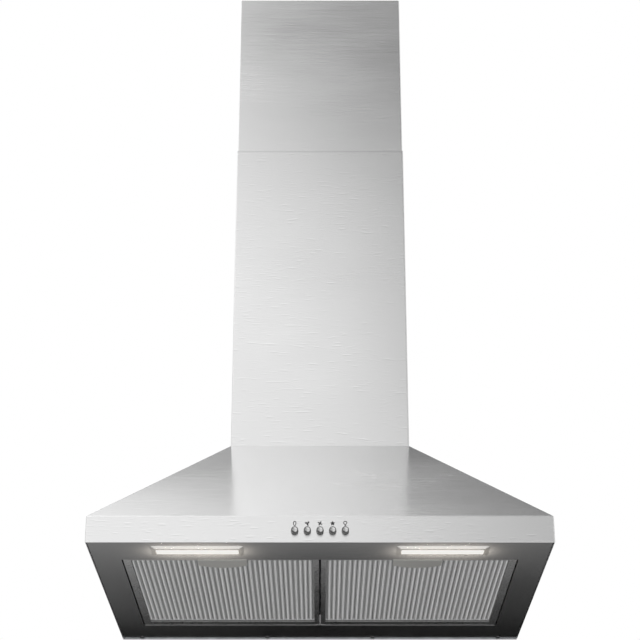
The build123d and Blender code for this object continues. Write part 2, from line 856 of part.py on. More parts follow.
# Scroll housing with its right wall, inlet ring and two feet on the deck.
with BuildPart() as scroll_housing:
    with BuildSketch(Plane.YZ.offset(-scroll_half_width)):
        add(scroll_profile(scroll_wall))
    extrude(amount=2 * scroll_half_width)
    for foot_y in (blower_y - foot_spacing / 2, blower_y + foot_spacing / 2):
        block(
            (-scroll_half_width, foot_y - foot_width / 2, deck_top),
            (scroll_half_width, foot_y + foot_width / 2, blower_z - scroll_start),
        )
    with BuildSketch(Plane.YZ.offset(-scroll_half_width)):
        add(scroll_profile(0))
    extrude(amount=2 * scroll_half_width - scroll_wall, mode=Mode.SUBTRACT)
    rod_x(
        scroll_half_width - scroll_wall,
        scroll_half_width + inlet_lip,
        blower_y,
        blower_z,
        inlet_radius + scroll_wall,
    )
    rod_x(0, scroll_half_width + inlet_lip, blower_y, blower_z, inlet_radius, Mode.SUBTRACT)
scroll_housing.part.label = "scroll_housing"
export_step(scroll_housing.part, "parts/scroll_housing.step")

# Scroll cover on the motor side, with three studs for the motor bracket's grommets.
with BuildPart() as scroll_cover:
    with BuildSketch(Plane.YZ.offset(cover_face)):
        add(scroll_profile(scroll_wall))
    extrude(amount=scroll_wall)
    rod_x(cover_face - inlet_lip, cover_face, blower_y, blower_z, inlet_radius + scroll_wall)
    rod_x(cover_face - inlet_lip, 0, blower_y, blower_z, inlet_radius, Mode.SUBTRACT)
    with BuildSketch(Plane.YZ.offset(bracket_end - grommet_bore)):
        with Locations((blower_y, blower_z)):
            with PolarLocations(grommet_ring, bracket_arm_count, 90):
                Circle(grommet_bore - seat_gap)
    extrude(amount=cover_face - bracket_end + grommet_bore)
scroll_cover.part.label = "scroll_cover"
export_step(scroll_cover.part, "parts/scroll_cover.step")

# Motor bracket: a ring on the motor's end with three arms to the grommets.
with BuildPart() as motor_bracket:
    with BuildSketch(Plane.YZ.offset(bracket_end)):
        with Locations((blower_y, blower_z)):
            Circle(motor_radius)
            with PolarLocations(grommet_ring / 2, bracket_arm_count, 90):
                Rectangle(grommet_ring, bracket_arm_width)
            with PolarLocations(grommet_ring, bracket_arm_count, 90):
                Circle(bracket_arm_width / 2)
                Circle(grommet_bore, mode=Mode.SUBTRACT)
            Circle(bearing_radius, mode=Mode.SUBTRACT)
    extrude(amount=bracket_sheet)
motor_bracket.part.label = "motor_bracket"
export_step(motor_bracket.part, "parts/motor_bracket.step")

with BuildPart() as motor_grommets:
    with BuildSketch(Plane.YZ.offset(bracket_face)):
        with Locations((blower_y, blower_z)):
            with PolarLocations(grommet_ring, bracket_arm_count, 90):
                Circle(grommet_radius)
                Circle(grommet_bore, mode=Mode.SUBTRACT)
    extrude(amount=grommet_height)
motor_grommets.part.label = "motor_grommets"
export_step(motor_grommets.part, "parts/motor_grommets.step")

# Motor: its can with the windings potted in, bored for the shaft and the two bearings.
with BuildPart() as motor_housing:
    rod_x(bracket_face, motor_right, blower_y, blower_z, motor_radius)
    fillet(motor_housing.edges().sort_by(Axis.X)[-1], radius=motor_edge)
    bore_radius = (shaft_radius + bearing_radius) / 2
    rod_x(bracket_face, motor_right, blower_y, blower_z, bore_radius, Mode.SUBTRACT)
    bearing_starts = (bracket_face, motor_right - bearing_length)
    for start in bearing_starts:
        rod_x(start, start + bearing_length, blower_y, blower_z, bearing_radius, Mode.SUBTRACT)
motor_housing.part.label = "motor_housing"
export_step(motor_housing.part, "parts/motor_housing.step")

with BuildPart() as motor_bearings:
    for start in bearing_starts:
        rod_x(start, start + bearing_length, blower_y, blower_z, bearing_radius)
    rod_x(bracket_face, motor_right, blower_y, blower_z, shaft_radius + running_gap, Mode.SUBTRACT)
motor_bearings.part.label = "motor_bearings"
export_step(motor_bearings.part, "parts/motor_bearings.step")

with BuildPart() as motor_shaft:
    rod_x(shaft_left, shaft_right, blower_y, blower_z, shaft_radius)
motor_shaft.part.label = "motor_shaft"
export_step(motor_shaft.part, "parts/motor_shaft.step")

# Double inlet impeller: a middle disc on a hub, with a ring of blades and a rim on each side.
with BuildPart() as impeller_disc:
    rod_x(hub_left, hub_left + hub_length, blower_y, blower_z, hub_radius)
    rod_x(disc_left, disc_right, blower_y, blower_z, impeller_radius)
    rod_x(hub_left, hub_left + hub_length, blower_y, blower_z, shaft_radius, Mode.SUBTRACT)
impeller_disc.part.label = "impeller_disc"
export_step(impeller_disc.part, "parts/impeller_disc.step")

blade_middle = impeller_radius - blade_depth / 2
right_rim = impeller_half_width - rim_width
for side_name, blade_start, blade_end, rim_start in (
    ("left", -impeller_half_width, disc_left, -impeller_half_width),
    ("right", disc_right, impeller_half_width, right_rim),
):
    with BuildPart() as impeller_blades:
        with BuildSketch(Plane.YZ.offset(blade_start)):
            with Locations((blower_y, blower_z)):
                with PolarLocations(blade_middle, blade_count):
                    Rectangle(blade_depth, blade_sheet, rotation=blade_angle)
        extrude(amount=blade_end - blade_start)
        with BuildSketch(Plane.YZ.offset(rim_start)):
            with Locations((blower_y, blower_z)):
                Circle(impeller_radius)
                Circle(impeller_radius - blade_depth, mode=Mode.SUBTRACT)
        extrude(amount=rim_width)
    impeller_blades.part.label = "impeller_blades_" + side_name
    export_step(impeller_blades.part, "parts/impeller_blades_" + side_name + ".step")

# Outlet collar for the duct, with a stop ring under the two flaps.
with BuildPart() as outlet_collar:
    rod_z(chamber_top, collar_base, 0, collar_y, collar_radius + collar_flange)
    rod_z(collar_base, collar_top, 0, collar_y, collar_radius)
    rod_z(chamber_top, collar_top, 0, collar_y, collar_inside, Mode.SUBTRACT)
    with BuildSketch(Plane.XY.offset(flap_stop_top)):
        with Locations((0, collar_y)):
            Circle(collar_inside)
            Circle(collar_inside - flap_stop, mode=Mode.SUBTRACT)
    extrude(amount=-flap_stop_sheet)
    rod_x(-collar_radius, collar_radius, collar_y, flap_z, flap_pin_radius, Mode.SUBTRACT)
outlet_collar.part.label = "outlet_collar"
export_step(outlet_collar.part, "parts/outlet_collar.step")

pin_half = (collar_radius**2 - flap_pin_radius**2) ** 0.5
with BuildPart() as flap_pin:
    rod_x(-pin_half, pin_half, collar_y, flap_z, flap_pin_radius)
flap_pin.part.label = "flap_pin"
export_step(flap_pin.part, "parts/flap_pin.step")

# Two half-round flaps with knuckles in turn along the pin: side -1 is towards the front.
for side, side_name in ((-1, "front"), (1, "rear")):
    knuckle_x = (-side * knuckle_pitch / 2, side * knuckle_pitch * 3 / 2)
    with BuildPart() as flap:
        with BuildSketch(Plane.XY.offset(flap_z - flap_sheet / 2)):
            with Locations((0, collar_y)):
                Circle(flap_radius)
            far = flap_radius + flap_edge
            with Locations((0, collar_y + side * (flap_edge - far))):
                Rectangle(2 * far, 2 * far, mode=Mode.SUBTRACT)
            for x in knuckle_x:
                with Locations((x, collar_y + side * flap_edge / 2)):
                    Rectangle(flap_knuckle_length, flap_edge + flap_sheet)
        extrude(amount=flap_sheet)
        for x in knuckle_x:
            half = flap_knuckle_length / 2
            rod_x(x - half, x + half, collar_y, flap_z, flap_knuckle_radius)
        bore = flap_pin_radius + running_gap
        rod_x(-flap_radius, flap_radius, collar_y, flap_z, bore, Mode.SUBTRACT)
    flap.part.label = "flap_" + side_name
    export_step(flap.part, "parts/flap_" + side_name + ".step")


def chimney_plan(width, front, rear):
    """A three-sided chimney section in plan: two sides, a front and two rear return flanges."""
    with BuildSketch(mode=Mode.PRIVATE) as plan:
        with Locations((0, (front + rear) / 2)):
            outer = Rectangle(width, rear - front)
        fillet(outer.vertices().group_by(Axis.Y)[0], radius=chimney_bend)
        offset(amount=-chimney_sheet, mode=Mode.SUBTRACT)
        with Locations((0, rear)):
            Rectangle(
                width - 2 * (chimney_sheet + return_flange),
                4 * chimney_sheet,
                mode=Mode.SUBTRACT,
            )
    return plan.sketch


# Lower chimney section, standing on the canopy with an inward foot flange.
with BuildPart() as chimney_lower:
    with BuildSketch(Plane.XY.offset(top_z)):
        add(chimney_plan(chimney_width, -chimney_depth, 0))
    extrude(amount=lower_length)
    foot_half = half_chimney - chimney_sheet
    foot_front = -chimney_depth + chimney_sheet
    foot_top = top_z + chimney_sheet
    corner = chimney_bend
    block(
        (-foot_half + corner, foot_front, top_z),
        (foot_half - corner, foot_front + foot_flange, foot_top),
    )
    for side in (-1, 1):
        edge = sorted((side * foot_half, side * (foot_half - foot_flange)))
        block((edge[0], foot_front + corner, top_z), (edge[1], -chimney_sheet, foot_top))
        for screw_y in foot_screw_y:
            rod_z(top_z, foot_top, side * foot_screw_x, screw_y, screw_hole, Mode.SUBTRACT)
chimney_lower.part.label = "chimney_lower"
export_step(chimney_lower.part, "parts/chimney_lower.step")

# Upper chimney section, which slides inside the lower one.
with BuildPart() as chimney_upper:
    with BuildSketch(Plane.XY.offset(upper_base)):
        add(chimney_plan(upper_width, -chimney_depth + upper_inset, -upper_inset))
    extrude(amount=upper_length)
    rod_x(-upper_width, upper_width, ear_y, bracket_z, screw_hole, Mode.SUBTRACT)
chimney_upper.part.label = "chimney_upper"
export_step(chimney_upper.part, "parts/chimney_upper.step")

# Wall bracket: one bent strip that lies on the wall and turns forward into two ears.
with BuildPart() as chimney_bracket:
    with BuildSketch(Plane.XY.offset(bracket_z - bracket_height / 2)):
        with Locations((0, -bracket_strip / 2)):
            Rectangle(bracket_width, bracket_strip)
        for side in (-1, 1):
            with Locations((side * (bracket_width - bracket_strip) / 2, -bracket_web / 2)):
                Rectangle(bracket_strip, bracket_web)
            web_start = bracket_width / 2 - bracket_strip
            with Locations((side * (web_start + upper_inside) / 2, -bracket_web + bracket_strip / 2)):
                Rectangle(upper_inside - web_start, bracket_strip)
            with Locations((side * (upper_inside - bracket_strip / 2), -bracket_ear / 2 - bracket_step / 2)):
                Rectangle(bracket_strip, bracket_ear - bracket_step)
    extrude(amount=bracket_height)
    for x in (-bracket_hole_spacing / 2, bracket_hole_spacing / 2):
        rod_y(0, bracket_strip, x, bracket_z, bracket_hole_radius, Mode.SUBTRACT)
    rod_x(-upper_width, upper_width, ear_y, bracket_z, screw_hole, Mode.SUBTRACT)
chimney_bracket.part.label = "chimney_bracket"
export_step(chimney_bracket.part, "parts/chimney_bracket.step")

with BuildPart() as chimney_upper_screws:
    for side in (-1, 1):
        face = side * upper_width / 2
        tip = side * (upper_width / 2 - screw_length)
        head = side * (upper_width / 2 + screw_head_height)
        rod_x(min(face, tip), max(face, tip), ear_y, bracket_z, screw_radius)
        rod_x(min(face, head), max(face, head), ear_y, bracket_z, screw_head_radius)
chimney_upper_screws.part.label = "chimney_upper_screws"
export_step(chimney_upper_screws.part, "parts/chimney_upper_screws.step")

with BuildPart() as chimney_foot_screws:
    for x in (-foot_screw_x, foot_screw_x):
        for screw_y in foot_screw_y:
            rod_z(deck_low - screw_head_height, deck_low, x, screw_y, screw_head_radius)
            rod_z(deck_low, deck_low + screw_length, x, screw_y, screw_radius)
chimney_foot_screws.part.label = "chimney_foot_screws"
export_step(chimney_foot_screws.part, "parts/chimney_foot_screws.step")

with BuildPart() as panel_screws:
    for screw_x in panel_screw_x:
        for x in (-screw_x, screw_x):
            rod_z(panel_low - screw_head_height, panel_low, x, panel_screw_y, screw_head_radius)
            rod_z(panel_low, panel_low + screw_length, x, panel_screw_y, screw_radius)
panel_screws.part.label = "panel_screws"
export_step(panel_screws.part, "parts/panel_screws.step")

# Control box on the back panel, with its lid, circuit board and what the board carries.
box_left = box_side_x - box_width / 2
box_right = box_side_x + box_width / 2
box_middle = (box_base + box_top) / 2
board_rear = box_rear + box_wall + standoff
board_front = board_rear + board_sheet
with BuildPart() as control_box:
    block((box_left, -box_front, box_base), (box_right, -box_rear, box_top))
    block(
        (box_left + box_wall, -box_front, box_base + box_wall),
        (box_right - box_wall, -box_rear - box_wall, box_top - box_wall),
        mode=Mode.SUBTRACT,
    )
    with BuildSketch(Plane.XZ.offset(box_rear + box_wall)):
        with Locations((box_side_x, box_middle)):
            with GridLocations(
                circuit_width - 2 * standoff_radius,
                circuit_height - 2 * standoff_radius,
                2,
                2,
            ):
                Circle(standoff_radius)
    extrude(amount=standoff)
    gland_neck = (gland_radius + gland_bore) / 2
    rod_z(box_top - box_wall, box_top, gland_x, gland_y, gland_neck, Mode.SUBTRACT)
control_box.part.label = "control_box"
export_step(control_box.part, "parts/control_box.step")

with BuildPart() as control_box_lid:
    block(
        (box_left, -box_front - box_wall, box_base),
        (box_right, -box_front, box_top),
    )
    rim = box_wall + seat_gap
    block(
        (box_left + rim, -box_front, box_base + rim),
        (box_right - rim, -box_front + lid_lip, box_top - rim),
    )
    rim += box_wall
    block(
        (box_left + rim, -box_front, box_base + rim),
        (box_right - rim, -box_front + lid_lip, box_top - rim),
        mode=Mode.SUBTRACT,
    )
control_box_lid.part.label = "control_box_lid"
export_step(control_box_lid.part, "parts/control_box_lid.step")

with BuildPart() as circuit_board:
    block(
        (box_side_x - circuit_width / 2, -board_front, box_middle - circuit_height / 2),
        (box_side_x + circuit_width / 2, -board_rear, box_middle + circuit_height / 2),
    )
circuit_board.part.label = "circuit_board"
export_step(circuit_board.part, "parts/circuit_board.step")

with BuildPart() as terminal_block:
    terminal_x = box_side_x - circuit_width / 2 + 2 * standoff
    terminal_z = box_middle + circuit_height / 2 - terminal_height - standoff
    block(
        (terminal_x, -board_front - terminal_depth, terminal_z),
        (terminal_x + terminal_width, -board_front, terminal_z + terminal_height),
    )
terminal_block.part.label = "terminal_block"
export_step(terminal_block.part, "parts/terminal_block.step")

with BuildPart() as motor_capacitor:
    capacitor_x = box_side_x - capacitor_length / 2
    capacitor_z = box_middle - circuit_height / 2 + capacitor_radius + standoff
    rod_x(
        capacitor_x,
        capacitor_x + capacitor_length,
        -board_front - capacitor_radius,
        capacitor_z,
        capacitor_radius,
    )
motor_capacitor.part.label = "motor_capacitor"
export_step(motor_capacitor.part, "parts/motor_capacitor.step")

with BuildPart() as cable_gland:
    rod_z(box_top - 2 * box_wall, box_top, gland_x, gland_y, gland_neck)
    rod_z(box_top, box_top + gland_height, gland_x, gland_y, gland_radius)
    fillet(cable_gland.edges().sort_by(Axis.Z)[-1], radius=gland_radius - gland_neck)
    rod_z(
        box_top - 2 * box_wall,
        box_top + gland_height,
        gland_x,
        gland_y,
        gland_bore,
        Mode.SUBTRACT,
    )
cable_gland.part.label = "cable_gland"
export_step(cable_gland.part, "parts/cable_gland.step")
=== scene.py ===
import json
import math

import bmesh
import bpy
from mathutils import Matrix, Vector

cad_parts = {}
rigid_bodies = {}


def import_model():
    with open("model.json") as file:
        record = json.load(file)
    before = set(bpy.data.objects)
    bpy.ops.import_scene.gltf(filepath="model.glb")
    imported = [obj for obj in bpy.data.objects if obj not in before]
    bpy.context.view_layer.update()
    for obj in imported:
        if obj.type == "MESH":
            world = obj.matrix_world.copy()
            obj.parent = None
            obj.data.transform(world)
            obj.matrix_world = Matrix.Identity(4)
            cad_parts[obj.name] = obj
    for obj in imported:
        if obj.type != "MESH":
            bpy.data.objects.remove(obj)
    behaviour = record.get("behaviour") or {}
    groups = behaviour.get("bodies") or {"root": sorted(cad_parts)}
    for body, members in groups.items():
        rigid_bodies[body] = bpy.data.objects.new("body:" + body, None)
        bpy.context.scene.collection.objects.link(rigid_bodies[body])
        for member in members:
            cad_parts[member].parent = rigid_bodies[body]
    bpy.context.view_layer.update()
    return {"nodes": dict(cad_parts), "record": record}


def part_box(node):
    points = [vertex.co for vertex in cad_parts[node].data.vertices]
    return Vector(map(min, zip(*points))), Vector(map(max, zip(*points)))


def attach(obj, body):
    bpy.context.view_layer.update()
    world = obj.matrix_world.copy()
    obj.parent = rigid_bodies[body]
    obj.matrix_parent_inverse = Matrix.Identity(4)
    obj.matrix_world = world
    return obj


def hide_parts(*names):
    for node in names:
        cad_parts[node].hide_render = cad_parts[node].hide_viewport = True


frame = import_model()
cadNodes = frame["nodes"]

# camera, below the hood's front edge and tilted up

viewpoint = {
    "place": (0.0, -2.7566, -0.6944),
    "upwardTilt": 24.0,
    "lens": 103.4,
    "sensorWidth": 36.0,
    "clip": (0.05, 60.0),
}


def makeCamera():
    data = bpy.data.cameras.new("viewCamera")
    data.lens = viewpoint["lens"]
    data.sensor_width = viewpoint["sensorWidth"]
    data.clip_start, data.clip_end = viewpoint["clip"]
    camera = bpy.data.objects.new("viewCamera", data)
    camera.location = viewpoint["place"]
    camera.rotation_euler = (math.radians(90.0 + viewpoint["upwardTilt"]), 0.0, 0.0)
    bpy.context.scene.collection.objects.link(camera)
    bpy.context.scene.camera = camera


makeCamera()
bpy.context.scene.view_settings.view_transform = "Standard"
print("camera placed")

# node tree helpers


def addNode(tree, kind, settings=None, inputs=None):
    made = tree.nodes.new(kind)
    for key, value in (settings or {}).items():
        setattr(made, key, value)
    for key, value in (inputs or {}).items():
        socket = made.inputs[key]
        if isinstance(value, bpy.types.NodeSocket):
            tree.links.new(value, socket)
        else:
            socket.default_value = value
    return made


def mathNode(tree, operation, first, second=None, third=None):
    given = {0: first}
    if second is not None:
        given[1] = second
    if third is not None:
        given[2] = third
    return addNode(tree, "ShaderNodeMath", {"operation": operation}, given).outputs[0]


def rangeNode(tree, value, low, high, newLow, newHigh, smooth=False):
    given = {"Value": value, "From Min": low, "From Max": high, "To Min": newLow, "To Max": newHigh}
    kind = "SMOOTHSTEP" if smooth else "LINEAR"
    return addNode(tree, "ShaderNodeMapRange", {"interpolation_type": kind}, given).outputs["Result"]


def mixColour(tree, share, first, second):
    made = addNode(tree, "ShaderNodeMix", {"data_type": "RGBA"})
    sockets = {s.identifier: s for s in made.inputs}
    for key, value in (("Factor_Float", share), ("A_Color", first), ("B_Color", second)):
        if isinstance(value, bpy.types.NodeSocket):
            tree.links.new(value, sockets[key])
        else:
            sockets[key].default_value = value
    return next(s for s in made.outputs if s.identifier == "Result_Color")


def grey(level, warmth=0.0):
    return (level * (1.0 + warmth), level, level * (1.0 - warmth), 1.0)


def surfaceMaterial(name, settings):
    material = bpy.data.materials.new(name)
    material.use_nodes = True
    tree = material.node_tree
    shader = tree.nodes["Principled BSDF"]
    for key, value in settings.items():
        shader.inputs[key].default_value = value
    place = addNode(tree, "ShaderNodeTexCoord").outputs["Object"]
    return material, tree, shader, place


def stretchedNoise(tree, place, scale, detail=3.0, seed=0.0, shift=(0.0, 0.0, 0.0)):
    # scale is in waves per metre along each axis, and shift in metres
    start = tuple(seed + s * d for s, d in zip(scale, shift))
    moved = addNode(tree, "ShaderNodeMapping", None, {"Vector": place, "Scale": scale, "Location": start})
    given = {"Vector": moved.outputs[0], "Scale": 1.0, "Detail": detail}
    return addNode(tree, "ShaderNodeTexNoise", None, given).outputs["Fac"]


def addBump(tree, shader, height, strength, distance=0.0002):
    given = {"Height": height, "Strength": strength, "Distance": distance}
    bump = addNode(tree, "ShaderNodeBump", None, given)
    tree.links.new(bump.outputs[0], shader.inputs["Normal"])


# brushed steel: a fine level grain, with sparse short scratches painted as light and dark pairs of highlight
# and shade

brushedSteel = {
    "colour": 0.86,
    "metallic": 1.0,
    "roughness": (0.20, 0.28),
    "anisotropy": 0.75,
    "grain": (18.0, 2300.0),
    "scratch": (62.0, 400.0),
    "scratchShift": 0.0013,
    "scratchLevels": (0.63, 0.74),
    "cloud": (5.0, 5.0, 9.0),
    "shares": {"scratch": 0.5, "grain": 0.16, "middle": 0.42},
    "contrast": 0.10,
    "brightest": 0.98,
    "bump": 0.05,
    "seamShadowWidth": 0.0040,
    "seamShadowLevel": 0.90,
}


def makeBrushedSteel(name, settings, lying=False, shadowedTopEdge=None):
    # lying is for a level sheet, whose grain still runs along X
    # shadowedTopEdge is the height of the sheet's top edge, under which a thin line of painted shade is
    # drawn
    given = {"Metallic": settings["metallic"], "Anisotropic": settings["anisotropy"]}
    material, tree, shader, place = surfaceMaterial(name, given)

    def grainNoise(along, across, detail, seed, moved=0.0):
        scale = (along, across, along) if lying else (along, along, across)
        shift = (0.0, moved, 0.0) if lying else (0.0, 0.0, moved)
        return stretchedNoise(tree, place, scale, detail, seed, shift)

    fine = grainNoise(*settings["grain"], 2.0, 0.0)
    broad = stretchedNoise(tree, place, settings["cloud"], 2.0, 3.1)
    # each scratch is painted with a highlight on one side and shade on the other
    scratches = []
    for moved in (0.0, settings["scratchShift"]):
        lines = grainNoise(*settings["scratch"], 1.0, 7.3, moved)
        scratches.append(rangeNode(tree, lines, *settings["scratchLevels"], 0.0, 1.0))
    scratchHighlightAndShade = mathNode(tree, "SUBTRACT", scratches[0], scratches[1])
    shares = settings["shares"]
    share = mathNode(tree, "MULTIPLY_ADD", scratchHighlightAndShade, shares["scratch"], shares["middle"])
    share = mathNode(tree, "MULTIPLY_ADD", fine, shares["grain"], share)
    level, contrast = settings["colour"], settings["contrast"]
    dark = grey(level * (1.0 - contrast))
    light = grey(min(settings["brightest"], level * (1.0 + contrast)))
    tone = mixColour(tree, share, dark, light)
    if shadowedTopEdge:
        # painted shade: a thin darker line just under the lower sheet's top edge stands for the shadow where
        # the two chimney sheets overlap
        height = addNode(tree, "ShaderNodeSeparateXYZ", None, {0: place}).outputs["Z"]
        line = settings["seamShadowWidth"]
        rim = rangeNode(tree, height, shadowedTopEdge - line, shadowedTopEdge - line / 2, 0.0, 1.0, smooth=True)
        tone = mixColour(tree, rim, tone, grey(level * settings["seamShadowLevel"]))
    tree.links.new(tone, shader.inputs["Base Color"])
    low, high = settings["roughness"]
    spread = mathNode(tree, "MULTIPLY_ADD", broad, 0.5, mathNode(tree, "MULTIPLY", fine, 0.5))
    tree.links.new(rangeNode(tree, spread, 0.3, 0.7, low, high), shader.inputs["Roughness"])
    across = {"X": 0.0, "Y": 1.0 if lying else 0.02, "Z": 0.02 if lying else 1.0}  # square to the grain
    tangent = addNode(tree, "ShaderNodeCombineXYZ", None, across).outputs[0]
    tree.links.new(tangent, shader.inputs["Tangent"])
    addBump(tree, shader, fine, settings["bump"])
    return material


panelSteel = {
    **brushedSteel,
    "colour": 0.48,
    "metallic": 0.975,
    "roughness": (0.16, 0.22),
    "anisotropy": 0.6,
    "contrast": 0.03,
}


speckle = {"cloud": (9.0, 9.0, 9.0), "grainShare": 0.6, "depth": 0.2}


def speckledFinish(name, colour, roughness, grainSize, settings=None, variation=0.12, bump=0.1):
    material, tree, shader, place = surfaceMaterial(name, settings or {})
    grain = stretchedNoise(tree, place, (1.0 / grainSize,) * 3, 3.0)
    broad = stretchedNoise(tree, place, speckle["cloud"], 2.0, 5.7)
    dark = [c * (1.0 - variation) for c in colour] + [1.0]
    light = [min(1.0, c * (1.0 + variation)) for c in colour] + [1.0]
    clouds = mathNode(tree, "MULTIPLY", broad, 1.0 - speckle["grainShare"])
    share = mathNode(tree, "MULTIPLY_ADD", grain, speckle["grainShare"], clouds)
    tree.links.new(mixColour(tree, share, dark, light), shader.inputs["Base Color"])
    low, high = roughness
    tree.links.new(rangeNode(tree, share, 0.35, 0.65, low, high), shader.inputs["Roughness"])
    addBump(tree, shader, grain, bump, grainSize * speckle["depth"])
    return material


galvanised = {
    "colour": (0.58, 0.60, 0.62),
    "shades": (0.86, 1.10),
    "roughness": (0.28, 0.5),
    "spangle": 0.009,
    "bump": 0.05,
}


def makeGalvanised():
    material, tree, shader, place = surfaceMaterial("galvanisedZinc", {"Metallic": 1.0})
    given = {"Vector": place, "Scale": 1.0 / galvanised["spangle"]}
    cells = addNode(tree, "ShaderNodeTexVoronoi", {"feature": "F1"}, given)
    split = addNode(tree, "ShaderNodeSeparateColor", None, {0: cells.outputs["Color"]})
    dark, light = [[c * shade for c in galvanised["colour"]] + [1.0] for shade in galvanised["shades"]]
    tree.links.new(mixColour(tree, split.outputs[0], dark, light), shader.inputs["Base Color"])
    low, high = galvanised["roughness"]
    tree.links.new(rangeNode(tree, split.outputs[1], 0.0, 1.0, low, high), shader.inputs["Roughness"])
    addBump(tree, shader, split.outputs[2], galvanised["bump"])
    return material


litLens = {
    "colour": (0.62, 0.61, 0.59),
    "glow": (1.0, 0.975, 0.93),
    "strength": 0.47,
    "roughness": 0.5,
    "stripe": 0.0012,
    "stripeShade": 0.97,
    "bump": 0.2,
}
waveLength = 0.314  # what one band of the wave texture spans at scale 1, in metres


def makeLitLens():
    given = {
        "Emission Color": (*litLens["glow"], 1.0),
        "Emission Strength": litLens["strength"],
        "Roughness": litLens["roughness"],
    }
    material, tree, shader, place = surfaceMaterial("frostedLitLens", given)
    ribs = addNode(
        tree, "ShaderNodeTexWave", {"wave_type": "BANDS", "bands_direction": "X"},
        {"Vector": place, "Scale": waveLength / litLens["stripe"], "Distortion": 0.0},
    ).outputs["Fac"]
    base = [*litLens["colour"], 1.0]
    shaded = [c * litLens["stripeShade"] for c in base]
    tree.links.new(mixColour(tree, ribs, shaded, base), shader.inputs["Base Color"])
    addBump(tree, shader, ribs, litLens["bump"])
    return material


def metalFinish(name, colour, roughness, grainSize, metallic=1.0, variation=0.05, bump=0.1):
    return speckledFinish(name, colour, roughness, grainSize, {"Metallic": metallic}, variation, bump)


# strands of the filter mesh: bright on the ridges that face the cooker, with painted shade that darkens them
# the deeper they lie, and random dark grease specks

strandShadeAndGrime = {
    "ridge": 1.0,
    "slope": 0.78,
    "deep": 0.31,
    "slopeDepth": 0.0009,
    "deepDepth": 0.0033,
    "metallic": 0.20,
    "roughness": (0.30, 0.46),
    "speck": 0.0011,
    "speckShare": 0.25,
    "speckColour": 0.2,
    "bump": 0.15,
}


def makeMeshStrand():
    given = {"Metallic": strandShadeAndGrime["metallic"]}
    material, tree, shader, place = surfaceMaterial("expandedAluminium", given)
    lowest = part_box("filter_mesh_left")[0].z
    height = addNode(tree, "ShaderNodeSeparateXYZ", None, {0: place}).outputs["Z"]
    depth = mathNode(tree, "SUBTRACT", height, lowest)
    slope, deep = strandShadeAndGrime["slopeDepth"], strandShadeAndGrime["deepDepth"]
    # painted shade: the colour darkens from the lowest ridges to the slopes and then to the deepest strands,
    # standing in for the shade inside the folds
    slopeShadeShare = rangeNode(tree, depth, 0.0, slope, 0.0, 1.0)
    deepShadeShare = rangeNode(tree, depth, slope, deep, 0.0, 1.0)
    tone = mixColour(tree, slopeShadeShare, grey(strandShadeAndGrime["ridge"]), grey(strandShadeAndGrime["slope"]))
    tone = mixColour(tree, deepShadeShare, tone, grey(strandShadeAndGrime["deep"]))
    speck = stretchedNoise(tree, place, (1.0 / strandShadeAndGrime["speck"],) * 3, 3.0)
    soiled = rangeNode(tree, speck, 0.45, 0.75, 0.0, strandShadeAndGrime["speckShare"])
    tone = mixColour(tree, soiled, tone, grey(strandShadeAndGrime["speckColour"]))
    tree.links.new(tone, shader.inputs["Base Color"])
    low, high = strandShadeAndGrime["roughness"]
    tree.links.new(rangeNode(tree, speck, 0.35, 0.65, low, high), shader.inputs["Roughness"])
    addBump(tree, shader, speck, strandShadeAndGrime["bump"])
    return material


# buttons: a metal-coated face ringed with painted shade near its edge, on a plastic skirt whose near-black
# colour is painted shade

buttonFinish = {
    "cap": 0.62,
    "rim": 0.10,
    "rimSpan": (0.0029, 0.0039),
    "shadedSkirt": 0.035,
    "skirtBlend": 0.0002,
    "capDepth": 0.0010,
    "roughness": (0.12, 0.34),
    "speck": 900.0,
    "speckShades": (0.96, 1.04),
    "bump": 0.03,
}


def makeButtonFinish():
    material, tree, shader, place = surfaceMaterial("buttonCapAndSkirt", {})
    low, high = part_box("button_off")
    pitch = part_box("button_speed_1")[0].x - low.x
    spot = addNode(tree, "ShaderNodeSeparateXYZ", None, {0: place}).outputs
    # how far each point lies from the middle line of its own button
    across = mathNode(tree, "SUBTRACT", spot["X"], (low.x + high.x) / 2)
    across = mathNode(tree, "WRAP", across, pitch / 2, -pitch / 2)
    rise = mathNode(tree, "SUBTRACT", spot["Z"], (low.z + high.z) / 2)
    reach = mathNode(tree, "MULTIPLY_ADD", rise, rise, mathNode(tree, "MULTIPLY", across, across))
    # painted shade: a dark ring near the edge of each button's face
    rim = rangeNode(tree, mathNode(tree, "SQRT", reach), *buttonFinish["rimSpan"], 0.0, 1.0, smooth=True)
    skirtStart, blend = low.y + buttonFinish["capDepth"], buttonFinish["skirtBlend"]
    # painted shade: the near-black colour of the skirt behind the face stands in for the shade on the
    # button's sides
    shadedSkirt = rangeNode(tree, spot["Y"], skirtStart - blend, skirtStart + blend, 0.0, 1.0)
    speck = stretchedNoise(tree, place, (buttonFinish["speck"],) * 3)
    dark, light = [grey(buttonFinish["cap"] * shade) for shade in buttonFinish["speckShades"]]
    tone = mixColour(tree, rim, mixColour(tree, speck, dark, light), grey(buttonFinish["rim"]))
    tree.links.new(mixColour(tree, shadedSkirt, tone, grey(buttonFinish["shadedSkirt"])), shader.inputs["Base Color"])
    tree.links.new(mathNode(tree, "SUBTRACT", 1.0, shadedSkirt), shader.inputs["Metallic"])
    smooth, rough = buttonFinish["roughness"]
    tree.links.new(rangeNode(tree, shadedSkirt, 0.0, 1.0, smooth, rough), shader.inputs["Roughness"])
    addBump(tree, shader, speck, buttonFinish["bump"])
    return material


